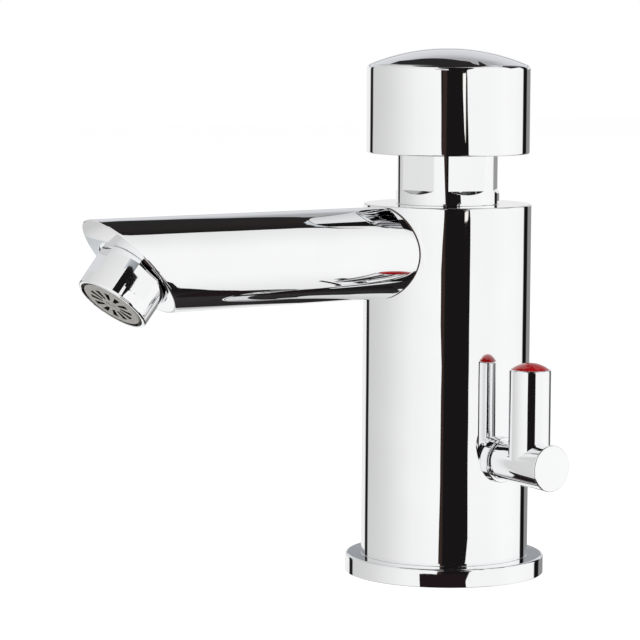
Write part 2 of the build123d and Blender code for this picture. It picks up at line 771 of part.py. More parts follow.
# Lever: tapered hub and upright rod in one casting, red disc in its end, grub screw from below
with BuildPart() as mixing_lever:
    with BuildSketch(side_section):
        with BuildLine():
            Polyline(
                (lever_start, 0),
                (lever_start, hub_small_radius),
                (lever_end, hub_large_radius),
                (lever_end, 0),
                close=True,
            )
        make_face()
    revolve(axis=side_axis)
    chamfer(mixing_lever.faces().sort_by(Axis.X)[-1].edges(), length=hub_edge)
    with BuildSketch(Plane(origin=(rod_centre, 0, lever_axis_height))):
        Circle(rod_radius)
    extrude(amount=rod_top - lever_axis_height)
    rod_rim = mixing_lever.faces().sort_by(Axis.Z)[-1].edges()
    fillet(rod_rim, radius=rod_edge)
    with BuildSketch(Plane(origin=(rod_centre, 0, rod_top - index_seat_depth))):
        Circle(index_seat_radius + fixed_gap)
    extrude(amount=index_seat_depth, mode=Mode.SUBTRACT)
    with BuildSketch(side_plane.offset(lever_start)):
        Circle(spool_shaft_radius + fixed_gap)
    extrude(amount=spool_shaft_end - lever_start + fixed_gap, mode=Mode.SUBTRACT)
    with BuildSketch(Plane(origin=(rod_centre, 0, lever_axis_height - hub_large_radius))):
        Circle(grub_radius + fixed_gap)
    extrude(amount=hub_large_radius, mode=Mode.SUBTRACT)

with BuildPart() as red_index_disc:
    with BuildSketch(Plane(origin=(rod_centre, 0, 0), x_dir=(1, 0, 0), z_dir=(0, -1, 0))):
        with BuildLine():
            dome_foot = rod_top
            dome_top = rod_top + index_dome_height
            dome_curve = (index_seat_radius**2 + index_dome_height**2) / (2 * index_dome_height)
            dome_middle = index_seat_radius / 2
            dome_drop = dome_curve - sqrt(dome_curve**2 - dome_middle**2)
            ThreePointArc((0, dome_top), (dome_middle, dome_top - dome_drop), (index_seat_radius, dome_foot))
            Polyline(
                (index_seat_radius, dome_foot),
                (index_seat_radius, rod_top - index_seat_depth),
                (0, rod_top - index_seat_depth),
                (0, dome_top),
            )
        make_face()
    revolve(axis=Axis((rod_centre, 0, 0), (0, 0, 1)))

grub_seat = lever_axis_height - spool_shaft_radius + spool_flat_depth - fixed_gap
with BuildPart() as lever_grub_screw:
    with BuildSketch(Plane(origin=(rod_centre, 0, grub_seat - grub_length))):
        Circle(grub_radius)
    extrude(amount=grub_length)
    with BuildSketch(Plane(origin=(rod_centre, 0, grub_seat - grub_length))):
        RegularPolygon(grub_key_half_width, 6, major_radius=False)
    extrude(amount=grub_key_depth, mode=Mode.SUBTRACT)

finished_pieces = {
    "base_flange": base_flange,
    "base_gasket": base_gasket,
    "body": body,
    "spout": spout,
    "spout_gasket": spout_gasket,
    "aerator_collar": aerator_collar,
    "aerator_insert": aerator_insert,
    "aerator_screen": aerator_screen,
    "aerator_seal": aerator_seal,
    "head_nut": head_nut,
    "guide_bush": guide_bush,
    "stem_o_ring": stem_o_ring,
    "cartridge_gasket": cartridge_gasket,
    "cartridge_sleeve": cartridge_sleeve,
    "seat_gasket": seat_gasket,
    "valve_seat": valve_seat,
    "return_spring": return_spring,
    "push_cap": push_cap,
    "push_stem": push_stem,
    "stem_lock_nut": stem_lock_nut,
    "stem_clip": stem_clip,
    "piston": piston,
    "piston_clips": piston_clips,
    "piston_lip_seal": piston_lip_seal,
    "seat_washer": seat_washer,
    "closing_disc": closing_disc,
    "closing_disc_nut": closing_disc_nut,
    "side_gland": side_gland,
    "gland_o_ring": gland_o_ring,
    "stop_pin": stop_pin,
    "mixing_spool": mixing_spool,
    "spool_o_rings": spool_o_rings,
    "mixing_lever": mixing_lever,
    "red_index_disc": red_index_disc,
    "lever_grub_screw": lever_grub_screw,
}
for piece_name, piece in finished_pieces.items():
    piece.part.label = piece_name
    export_step(piece.part, f"parts/{piece_name}.step")
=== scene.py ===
"""Looks of the push timed tap, a self-closing basin mixer in polished chrome.

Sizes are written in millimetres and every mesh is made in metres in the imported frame: +Z up, spout
towards -Y, temperature lever towards +X.
"""

import logging
import math
from dataclasses import dataclass
from enum import Enum
from typing import Callable, Optional, Sequence

import bmesh
import bpy
from mathutils import Matrix, Vector


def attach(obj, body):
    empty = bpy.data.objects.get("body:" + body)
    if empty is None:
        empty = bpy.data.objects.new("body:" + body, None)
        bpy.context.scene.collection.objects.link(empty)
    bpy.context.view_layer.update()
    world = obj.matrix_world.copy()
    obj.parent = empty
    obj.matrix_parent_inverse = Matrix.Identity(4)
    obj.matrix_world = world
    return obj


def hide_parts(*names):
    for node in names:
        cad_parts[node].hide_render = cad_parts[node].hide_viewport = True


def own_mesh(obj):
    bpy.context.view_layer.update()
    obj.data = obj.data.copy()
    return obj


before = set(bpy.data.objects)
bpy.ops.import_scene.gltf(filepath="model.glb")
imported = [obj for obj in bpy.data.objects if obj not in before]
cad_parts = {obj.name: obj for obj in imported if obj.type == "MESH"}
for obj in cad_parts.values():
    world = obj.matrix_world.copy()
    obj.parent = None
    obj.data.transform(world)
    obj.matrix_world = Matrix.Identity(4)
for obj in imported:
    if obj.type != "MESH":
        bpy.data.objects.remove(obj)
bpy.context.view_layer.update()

logging.basicConfig(level=logging.INFO, format="%(name)s: %(message)s")
LOG = logging.getLogger("push_timed_tap")

MM = 0.001
TURNS_AROUND = 192
FACETED_AROUND = 360
CUTTER_AROUND = 96
FINE_CUTTER_AROUND = 64
SHARP_ANGLE = math.radians(28.0)
FACETED_SHARP_ANGLE = math.radians(12.0)
WIRE_SHARP_ANGLE = math.radians(60.0)
TOLERANCE = 1e-6
DOUBLES = 1e-7
GRID_DOUBLES = 1e-6
SEAM_DOUBLES = 2e-6
CUT_DOUBLES = 0.0008
LEVEL_STEP = 2e-6
OVERRUN = 1.0
SEAT_GAP = 0.03
FINE_EDGE = 0.2
NOISE_SPAN = (0.35, 0.65)
FACE_WEIGHT = 50
UP = Vector((0, 0, 1))
TO_LEVER = Vector((1, 0, 0))
TO_SPOUT = Vector((0, -1, 0))

Pair = tuple[float, float]
Colour = tuple[float, float, float]
Triple = tuple[float, float, float]
Reach = Callable[[float, float, float], float]


class Body(Enum):
    """Bodies of the motion model that a piece can ride on."""

    TAP = "tap_body"
    PUSH = "push_unit"
    LEVER = "lever_unit"


class Slot(Enum):
    """Material slots of the record."""

    CHROME = "chrome"
    BRASS = "brass"
    STEEL = "steel"
    RUBBER = "rubber"
    CREAM = "cream_plastic"
    WHITE = "white_plastic"
    RED = "red_plastic"


def linear(shade: float) -> float:
    """Turns a shade as it shows on screen into the light that gives it."""
    return shade / 12.92 if shade <= 0.04045 else ((shade + 0.055) / 1.055) ** 2.4


def tone(red: float, green: float, blue: float) -> Colour:
    """Gives a colour as light, from its three shades as they show on screen."""
    return (linear(red), linear(green), linear(blue))


def grey(shade: float) -> Colour:
    """Gives a neutral grey as light, from a shade as it shows on screen."""
    return tone(shade, shade, shade)


# ---------------------------------------------------------------- node trees


class NodeBench:
    """Puts nodes into one tree and joins them, so that a formula reads in one line."""

    def __init__(self, tree: bpy.types.NodeTree) -> None:
        """Takes the shader, world or geometry node tree that the nodes go into."""
        self.tree = tree

    def add(self, kind: str, **settings: object) -> bpy.types.Node:
        """Adds a node.

        Args:
            kind: The node's type name.
            **settings: Properties that are set on the node.

        Returns:
            The new node.
        """
        node = self.tree.nodes.new(kind)
        for name, value in settings.items():
            setattr(node, name, value)
        return node

    def feed(self, socket: bpy.types.NodeSocket, value: object) -> None:
        """Joins an output to a socket, or writes a constant into it.

        Args:
            socket: The input socket.
            value: An output socket or a constant.
        """
        if isinstance(value, bpy.types.NodeSocket):
            self.tree.links.new(value, socket)
        else:
            socket.default_value = value

    def math(self, operation: str, *values: object) -> bpy.types.NodeSocket:
        """Adds a Math node.

        Args:
            operation: The node's operation.
            *values: Sockets or numbers for its inputs.

        Returns:
            The result's socket.
        """
        node = self.add("ShaderNodeMath", operation=operation)
        for socket, value in zip(node.inputs, values):
            self.feed(socket, value)
        return node.outputs[0]

    def dot(self, value: bpy.types.NodeSocket, direction: Vector) -> bpy.types.NodeSocket:
        """Adds a dot product.

        Args:
            value: The vector socket that is read.
            direction: The fixed vector that it is multiplied by.

        Returns:
            The product's socket.
        """
        node = self.add("ShaderNodeVectorMath", operation="DOT_PRODUCT")
        self.feed(node.inputs[0], value)
        node.inputs[1].default_value = direction
        return node.outputs["Value"]

    def step(self, value: object, low: float, high: float) -> bpy.types.NodeSocket:
        """Adds a smooth step.

        Args:
            value: The socket that is read.
            low: Where the step starts, at 0.
            high: Where it ends, at 1.

        Returns:
            The step's socket.
        """
        node = self.add("ShaderNodeMapRange", interpolation_type="SMOOTHSTEP")
        self.feed(node.inputs["Value"], value)
        node.inputs["From Min"].default_value = low
        node.inputs["From Max"].default_value = high
        return node.outputs["Result"]

    def window(self, value: object, low: float, high: float, soft: float) -> bpy.types.NodeSocket:
        """Adds a soft-edged window, 1 between two values and 0 outside them.

        Args:
            value: The socket that is read.
            low: Lower side of the window.
            high: Upper side of the window.
            soft: Width of each edge.

        Returns:
            The window's socket.
        """
        rise = self.step(value, low - soft / 2, low + soft / 2)
        fall = self.step(value, high + soft / 2, high - soft / 2)
        return self.math("MULTIPLY", rise, fall)

    def mix(self, share: object, first: object, second: object) -> bpy.types.NodeSocket:
        """Adds a colour mix.

        Args:
            share: How much of the second colour shows.
            first: The colour at 0, as a socket or three numbers.
            second: The colour at 1, as a socket or three numbers.

        Returns:
            The mixed colour's socket.
        """
        node = self.add("ShaderNodeMix", data_type="RGBA")
        first_colour, second_colour, mixed_colour = node.inputs[6], node.inputs[7], node.outputs[2]
        self.feed(node.inputs["Factor"], share)
        for socket, value in ((first_colour, first), (second_colour, second)):
            self.feed(socket, value if isinstance(value, bpy.types.NodeSocket) else (*value, 1.0))
        return mixed_colour

    def ramp(self, value: object, stops: Sequence[tuple[float, Colour]]) -> bpy.types.NodeSocket:
        """Adds a colour ramp.

        Args:
            value: The socket that is read.
            stops: Places from 0 to 1 with their colours.

        Returns:
            The ramp's colour.
        """
        node = self.add("ShaderNodeValToRGB")
        elements = node.color_ramp.elements
        while len(elements) < len(stops):
            elements.new(0.5)
        for element, (place, _) in zip(elements, stops):
            element.position = place
        for element, (_, colour) in zip(elements, stops):
            element.color = (*colour, 1.0)
        self.feed(node.inputs[0], value)
        return node.outputs[0]

    def end(self, kind: str, shader: bpy.types.NodeSocket) -> None:
        """Ends a material or a world with an output node of the given kind."""
        self.feed(self.add(kind).inputs["Surface"], shader)


def empty_material(name: str) -> tuple[bpy.types.Material, NodeBench]:
    """Starts a material that has no nodes yet.

    Args:
        name: The material's name.

    Returns:
        The material, and the bench for its nodes.
    """
    made = bpy.data.materials.new(name)
    made.use_nodes = True
    made.node_tree.nodes.clear()
    return made, NodeBench(made.node_tree)


# ------------------------------------------------------------------ finishes


def surface_noise_group() -> bpy.types.NodeTree:
    """Builds the node group for the slow unevenness that polishing and moulding leave.

    Returns:
        The group, with inputs Scale and Detail and outputs Height and Share.
    """
    name = "surface_unevenness"
    if name in bpy.data.node_groups:
        return bpy.data.node_groups[name]
    tree = bpy.data.node_groups.new(name, "ShaderNodeTree")
    for label, value in (("Scale", 60.0), ("Detail", 1.0)):
        socket = tree.interface.new_socket(label, in_out="INPUT", socket_type="NodeSocketFloat")
        socket.default_value = value
    for label in ("Height", "Share"):
        tree.interface.new_socket(label, in_out="OUTPUT", socket_type="NodeSocketFloat")
    bench = NodeBench(tree)
    entry = bench.add("NodeGroupInput")
    leave = bench.add("NodeGroupOutput")
    place = bench.add("ShaderNodeTexCoord")
    noise = bench.add("ShaderNodeTexNoise", noise_dimensions="3D")
    bench.feed(noise.inputs["Vector"], place.outputs["Object"])
    bench.feed(noise.inputs["Scale"], entry.outputs["Scale"])
    bench.feed(noise.inputs["Detail"], entry.outputs["Detail"])
    bench.feed(leave.inputs["Height"], noise.outputs["Fac"])
    bench.feed(leave.inputs["Share"], bench.step(noise.outputs["Fac"], *NOISE_SPAN))
    return tree


@dataclass(frozen=True)
class Finish:
    """A surface: its colours, gloss and the small unevenness of how it was made."""

    name: str
    slot: Slot
    colour: Colour
    second_colour: Colour
    metallic: float = 0.0
    gloss: Pair = (0.3, 0.4)
    noise_scale: float = 60.0
    noise_detail: float = 1.0
    bump_height: float = 0.0
    coat: float = 0.0
    coat_roughness: float = 0.04

    def material(self) -> bpy.types.Material:
        """Makes the material, or finds it if it is already made.

        Returns:
            The material.
        """
        if self.name in bpy.data.materials:
            return bpy.data.materials[self.name]
        made = bpy.data.materials.new(self.name)
        made.use_nodes = True
        bench = NodeBench(made.node_tree)
        shader = made.node_tree.nodes["Principled BSDF"]
        shader.inputs["Metallic"].default_value = self.metallic
        shader.inputs["Coat Weight"].default_value = self.coat
        shader.inputs["Coat Roughness"].default_value = self.coat_roughness
        grain = bench.add("ShaderNodeGroup", node_tree=surface_noise_group())
        grain.inputs["Scale"].default_value = self.noise_scale
        grain.inputs["Detail"].default_value = self.noise_detail
        share = grain.outputs["Share"]
        bench.feed(shader.inputs["Base Color"], bench.mix(share, self.colour, self.second_colour))
        low, high = self.gloss
        roughness = bench.math("MULTIPLY_ADD", share, high - low, low)
        bench.feed(shader.inputs["Roughness"], roughness)
        if self.bump_height > 0:
            bump = bench.add("ShaderNodeBump")
            bump.inputs["Strength"].default_value = 1.0
            bump.inputs["Distance"].default_value = self.bump_height
            bench.feed(bump.inputs["Height"], grain.outputs["Height"])
            bench.feed(shader.inputs["Normal"], bump.outputs["Normal"])
        return made


CHROME = Finish(
    "polished_chrome", Slot.CHROME, (0.955, 0.958, 0.965), (0.94, 0.943, 0.95), metallic=1.0,
    gloss=(0.015, 0.03), noise_scale=55.0, bump_height=0.00006,
)
BRASS = Finish(
    "turned_brass", Slot.BRASS, (0.78, 0.60, 0.30), (0.70, 0.52, 0.25), metallic=1.0,
    gloss=(0.18, 0.30), noise_scale=240.0, noise_detail=3.0, bump_height=0.00001,
)
STEEL = Finish(
    "drawn_steel", Slot.STEEL, (0.62, 0.63, 0.65), (0.54, 0.55, 0.57), metallic=1.0,
    gloss=(0.20, 0.32), noise_scale=400.0, noise_detail=3.0, bump_height=0.00001,
)
RUBBER = Finish(
    "black_rubber", Slot.RUBBER, (0.018, 0.018, 0.019), (0.03, 0.03, 0.031),
    gloss=(0.5, 0.65), noise_scale=700.0, noise_detail=4.0, bump_height=0.00003,
)
CREAM_PLASTIC = Finish(
    "cream_plastic", Slot.CREAM, (0.80, 0.78, 0.72), (0.74, 0.72, 0.66),
    gloss=(0.30, 0.42), noise_scale=500.0, noise_detail=2.0, bump_height=0.00002,
)
WHITE_PLASTIC = Finish(
    "white_plastic", Slot.WHITE, (0.80, 0.81, 0.81), (0.75, 0.76, 0.76),
    gloss=(0.32, 0.42), noise_scale=400.0, noise_detail=2.0, bump_height=0.00002,
)
RED_PLASTIC = Finish(
    "red_gloss_plastic", Slot.RED, (0.34, 0.004, 0.006), (0.28, 0.003, 0.004),
    gloss=(0.08, 0.13), noise_scale=300.0, bump_height=0.00002, coat=0.2,
)
# Painted shade on the seam, the collar's mouth and the grille's depths; also the aerator screen's
# own colour.
PAINTED_SHADE_AND_SCREEN = Finish(
    "painted_shade_and_screen_brown", Slot.STEEL, (0.035, 0.022, 0.015), (0.06, 0.04, 0.028),
    gloss=(0.4, 0.6), noise_scale=900.0, noise_detail=2.0,
)


# ------------------------------------------------------------ turned outlines


@dataclass(frozen=True)
class Corner:
    """A corner of a turned outline: radius, place along the axis, and its rounding's radius."""

    radius: float
    place: float
    round: float = 0.0


@dataclass(frozen=True)
class Placement:
    """Where a turned piece stands: a point of its axis, the axis and the way to angle zero."""

    origin: Vector
    axis: Vector
    side: Vector

    def cross(self) -> Vector:
        """Gives the direction at a quarter turn from angle zero."""
        return self.axis.cross(self.side)

    def point(self, radius: float, angle: float, place: float) -> Vector:
        """Gives the point at a radius, an angle and a place along the axis, in millimetres."""
        spoke = self.side * math.cos(angle) + self.cross() * math.sin(angle)
        return self.origin + self.axis * place + spoke * radius


def upright(x: float = 0.0, y: float = 0.0) -> Placement:
    """Gives an upright axis through a point of the base plane."""
    return Placement(Vector((x, y, 0)), UP, TO_LEVER)


def level(height: float, direction: Vector) -> Placement:
    """Gives a level axis that leaves the column's middle at a height, in a direction."""
    return Placement(UP * height, direction, UP)


def rounded_outline(corners: Sequence[Corner], closed: bool, steps: int = 5) -> list[Pair]:
    """Turns corners into outline points, with an arc at each rounded corner.

    Args:
        corners: The outline's corners in order.
        closed: Whether the last corner joins the first.
        steps: Pieces of each arc.

    Returns:
        Points of radius and place.
    """
    points: list[Pair] = []
    count = len(corners)
    for index, corner in enumerate(corners):
        here = Vector((corner.radius, corner.place))
        ends = not closed and index in (0, count - 1)
        if corner.round <= 0 or ends:
            points.append((here.x, here.y))
            continue
        before = corners[index - 1]
        after = corners[(index + 1) % count]
        back = (Vector((before.radius, before.place)) - here).normalized()
        ahead = (Vector((after.radius, after.place)) - here).normalized()
        half = back.angle(ahead) / 2
        reach = corner.round / math.tan(half)
        start, end = here + back * reach, here + ahead * reach
        centre = here + (back + ahead).normalized() * (corner.round / math.sin(half))
        first = math.atan2(start.y - centre.y, start.x - centre.x)
        turn = math.atan2(end.y - centre.y, end.x - centre.x) - first
        turn = (turn + math.pi) % (2 * math.pi) - math.pi
        for step in range(steps + 1):
            angle = first + turn * step / steps
            across, rise = corner.round * math.cos(angle), corner.round * math.sin(angle)
            points.append((centre.x + across, centre.y + rise))
    return points


def dome_outline(rim: float, foot: float, apex: float, steps: int) -> list[Pair]:
    """Gives the outline of a dome as one arc.

    Args:
        rim: Radius of its edge.
        foot: Place of its edge along the axis.
        apex: Place of its middle along the axis.
        steps: Pieces of the arc.

    Returns:
        Points of radius and place, from the edge to the middle.
    """
    rise = apex - foot
    curve = (rim**2 + rise**2) / (2 * rise)
    centre = apex - curve
    radii = [rim * (1 - step / steps) for step in range(steps + 1)]
    return [(radius, centre + math.sqrt(curve**2 - radius**2)) for radius in radii]


def from_flat(angle: float, turn: float, count: int) -> float:
    """Gives the angle from the middle of the nearest flat.

    Args:
        angle: The angle round the axis.
        turn: Angle of the first flat's middle, in degrees.
        count: Number of flats.

    Returns:
        The angle between them, with its sign.
    """
    pitch = 2 * math.pi / count
    return (angle - math.radians(turn) + pitch / 2) % pitch - pitch / 2


def new_object(name: str, data: bpy.types.ID) -> bpy.types.Object:
    """Puts a mesh, a lamp or a camera into the scene as an object at the origin.

    Args:
        name: The object's name.
        data: The mesh, lamp or camera that it shows.

    Returns:
        The object, at the origin.
    """
    made = bpy.data.objects.new(name, data)
    bpy.context.scene.collection.objects.link(made)
    return made


def mesh_object(
    name: str, points: Sequence[Vector], faces: Sequence[Sequence[int]]
) -> bpy.types.Object:
    """Makes an object from points in millimetres.

    Args:
        name: The object's name.
        points: The mesh's points, in millimetres.
        faces: Indices of each face's points.

    Returns:
        The object, with its mesh in metres.
    """
    mesh = bpy.data.meshes.new(name)
    mesh.from_pydata([point * MM for point in points], [], faces)
    mesh.validate()
    return new_object(name, mesh)


def turned_piece(
    name: str,
    outline: Sequence[Pair],
    placement: Placement = upright(),
    closed: bool = True,
    around: int = TURNS_AROUND,
    reach: Optional[Reach] = None,
) -> bpy.types.Object:
    """Turns an outline round an axis.

    Args:
        name: The object's name.
        outline: Points of radius and place. Points at radius zero become poles.
        placement: Where the piece stands.
        closed: Whether the outline's last point joins its first.
        around: Points of a full turn.
        reach: Gives the radius from the angle, the outline's radius and its place, for flats.

    Returns:
        The turned object.
    """
    points: list[Vector] = []
    rings: list[list[int]] = []
    for radius, place in outline:
        if radius < TOLERANCE:
            rings.append([len(points)] * around)
            points.append(placement.point(0.0, 0.0, place))
            continue
        ring = []
        for step in range(around):
            angle = 2 * math.pi * step / around
            size = reach(angle, radius, place) if reach else radius
            ring.append(len(points))
            points.append(placement.point(size, angle, place))
        rings.append(ring)
    faces: list[list[int]] = []
    pairs = list(zip(rings, rings[1:])) + ([(rings[-1], rings[0])] if closed else [])
    for low, high in pairs:
        for step in range(around):
            after = (step + 1) % around
            corners = [low[step], low[after], high[after], high[step]]
            face = [corner for place, corner in enumerate(corners) if corner not in corners[:place]]
            if len(face) > 2:
                faces.append(face)
    return mesh_object(name, points, faces)


def turned_corners(
    name: str,
    corners: Sequence[Corner],
    placement: Placement = upright(),
    closed: bool = True,
    around: int = TURNS_AROUND,
    reach: Optional[Reach] = None,
) -> bpy.types.Object:
    """Turns an outline that is given by its corners, with arguments as in turned_piece."""
    outline = rounded_outline(corners, closed)
    return turned_piece(name, outline, placement, closed, around, reach)


def tidy_mesh(piece: bpy.types.Object, merge: float = DOUBLES) -> bpy.types.Object:
    """Merges doubled points and turns the faces outwards.

    Args:
        piece: The object whose mesh is tidied.
        merge: Distance in metres below which points are merged.

    Returns:
        The same object.
    """
    work = bmesh.new()
    work.from_mesh(piece.data)
    bmesh.ops.remove_doubles(work, verts=work.verts, dist=merge)
    bmesh.ops.dissolve_degenerate(work, edges=work.edges, dist=merge)
    bmesh.ops.recalc_face_normals(work, faces=work.faces)
    work.to_mesh(piece.data)
    work.free()
    return piece


def settle(piece: bpy.types.Object) -> bpy.types.Object:
    """Writes an object's modifiers into its mesh.

    Args:
        piece: The object.

    Returns:
        The same object with a plain mesh and no modifiers.
    """
    bpy.context.view_layer.update()
    graph = bpy.context.evaluated_depsgraph_get()
    mesh = bpy.data.meshes.new_from_object(
        piece.evaluated_get(graph), preserve_all_data_layers=True, depsgraph=graph
    )
    piece.modifiers.clear()
    piece.data = mesh
    mesh.name = piece.name
    return piece


def smooth(piece: bpy.types.Object, sharp: float = SHARP_ANGLE) -> bpy.types.Object:
    """Shades a piece smooth up to its sharp edges, with large faces kept even.

    Args:
        piece: The object.
        sharp: Angle above which an edge stays sharp, in radians.

    Returns:
        The same object.
    """
    tidy_mesh(piece)
    piece.data.shade_smooth()
    piece.data.set_sharp_from_angle(angle=sharp)
    weigh = piece.modifiers.new("even_faces", "WEIGHTED_NORMAL")
    weigh.mode = "FACE_AREA"
    weigh.keep_sharp = True
    weigh.weight = FACE_WEIGHT
    return settle(piece)


def cut(
    piece: bpy.types.Object, *cutters: bpy.types.Object, join: bool = False
) -> bpy.types.Object:
    """Cuts cutters out of a piece one by one, or joins them to it, and removes them.

    It works at a thousand times the size, where the solver's smallest step is far below any edge.

    Args:
        piece: The object that is changed.
        *cutters: Closed objects.
        join: Whether they are joined instead of cut out.

    Returns:
        The changed piece.
    """
    enlarge = Matrix.Scale(1 / MM, 4)
    tidy_mesh(piece)
    piece.data.transform(enlarge)
    for cutter in cutters:
        tidy_mesh(cutter)
        cutter.data.transform(enlarge)
        change = piece.modifiers.new("cut", "BOOLEAN")
        change.operation = "UNION" if join else "DIFFERENCE"
        change.solver = "EXACT"
        change.object = cutter
        settle(piece)
        tidy_mesh(piece, CUT_DOUBLES)
        bpy.data.objects.remove(cutter)
    piece.data.transform(enlarge.inverted())
    return piece


def plug(
    placement: Placement, radius: float, low: float, high: float, around: int = CUTTER_AROUND
) -> bpy.types.Object:
    """Makes a closed round plug between two places on an axis, for cutting bores."""
    outline = [(0.0, low), (radius, low), (radius, high), (0.0, high)]
    return turned_piece("cutter", outline, placement, closed=False, around=around)


def publish(
    piece: bpy.types.Object, body: Body, finish: Finish, *nodes: str
) -> bpy.types.Object:
    """Gives a finished piece its material and its place in the motion model.

    Args:
        piece: The object.
        body: The body it rides on.
        finish: Its finish.
        *nodes: CAD nodes that it stands for.

    Returns:
        The same object.
    """
    piece.data.materials.clear()
    piece.data.materials.append(finish.material())
    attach(piece, body.value)
    if nodes:
        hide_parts(*nodes)
    LOG.info("%s: %d faces on %s", piece.name, len(piece.data.polygons), body.value)
    return piece


def paint(
    piece: bpy.types.Object,
    finish: Finish,
    placement: Placement,
    chosen: Callable[[float, float], bool],
) -> None:
    """Gives some faces of a piece a second finish.

    Args:
        piece: The object, already published.
        finish: The second finish.
        placement: The axis that the places are measured on.
        chosen: Says from a face's radius and its place along the axis whether it gets the finish.
    """
    piece.data.materials.append(finish.material())
    for face in piece.data.polygons:
        spot = face.center / MM - placement.origin
        place = spot.dot(placement.axis)
        if chosen((spot - placement.axis * place).length, place):
            face.material_index = 1


# ------------------------------------------------------------- geometry nodes


class ShapeTree:
    """A geometry node tree with named inputs that ends in Realize Instances and Set Material."""

    def __init__(self, name: str) -> None:
        """Starts an empty tree under a name.

        Args:
            name: The tree's name.
        """
        self.tree = bpy.data.node_groups.new(name, "GeometryNodeTree")
        self.bench = NodeBench(self.tree)
        self.tree.interface.new_socket(
            "Geometry", in_out="OUTPUT", socket_type="NodeSocketGeometry"
        )
        self.entry = self.bench.add("NodeGroupInput")
        self.values: dict[str, float] = {}

    def size(self, name: str, value: float) -> bpy.types.NodeSocket:
        """Adds a named number as an input.

        Args:
            name: The input's name.
            value: Its value, a whole number where the input is a count.

        Returns:
            The socket that gives it inside the tree.
        """
        kind = "NodeSocketInt" if isinstance(value, int) else "NodeSocketFloat"
        socket = self.tree.interface.new_socket(name, in_out="INPUT", socket_type=kind)
        socket.default_value = value
        self.values[socket.identifier] = value
        return self.entry.outputs[name]

    def place(
        self, geometry: bpy.types.NodeSocket, x: object, y: object, z: object
    ) -> bpy.types.NodeSocket:
        """Moves every point of a geometry to the place that three sockets give.

        Args:
            geometry: The geometry that is moved.
            x: Socket or number of the first coordinate.
            y: Socket or number of the second.
            z: Socket or number of the third.

        Returns:
            The moved geometry.
        """
        spot = self.bench.add("ShaderNodeCombineXYZ")
        for socket, value in zip(spot.inputs, (x, y, z)):
            self.bench.feed(socket, value)
        move = self.bench.add("GeometryNodeSetPosition")
        self.bench.feed(move.inputs["Geometry"], geometry)
        self.bench.feed(move.inputs["Position"], spot.outputs[0])
        return move.outputs["Geometry"]

    def spot(self) -> Sequence[bpy.types.NodeSocket]:
        """Gives the three coordinates of each point.

        Returns:
            The sockets of x, y and z.
        """
        here = self.bench.add("GeometryNodeInputPosition")
        parts = self.bench.add("ShaderNodeSeparateXYZ")
        self.bench.feed(parts.inputs[0], here.outputs[0])
        return parts.outputs

    def close(self, geometry: bpy.types.NodeSocket, material: bpy.types.Material) -> None:
        """Ends the tree.

        Args:
            geometry: The finished geometry.
            material: The material that it gets.
        """
        real = self.bench.add("GeometryNodeRealizeInstances")
        self.bench.feed(real.inputs["Geometry"], geometry)
        dress = self.bench.add("GeometryNodeSetMaterial")
        self.bench.feed(dress.inputs["Geometry"], real.outputs["Geometry"])
        dress.inputs["Material"].default_value = material
        leave = self.bench.add("NodeGroupOutput")
        self.bench.feed(leave.inputs["Geometry"], dress.outputs["Geometry"])

    def grow(self, name: str) -> bpy.types.Object:
        """Runs the tree with its sizes and keeps its result as a plain mesh.

        Args:
            name: The object's name.

        Returns:
            The object.
        """
        host = new_object(name, bpy.data.meshes.new(name + "_seed"))
        modifier = host.modifiers.new("shape", "NODES")
        modifier.node_group = self.tree
        for identifier, value in self.values.items():
            modifier[identifier] = value
        host.update_tag()
        return settle(host)


# ------------------------------------------------------------------- column


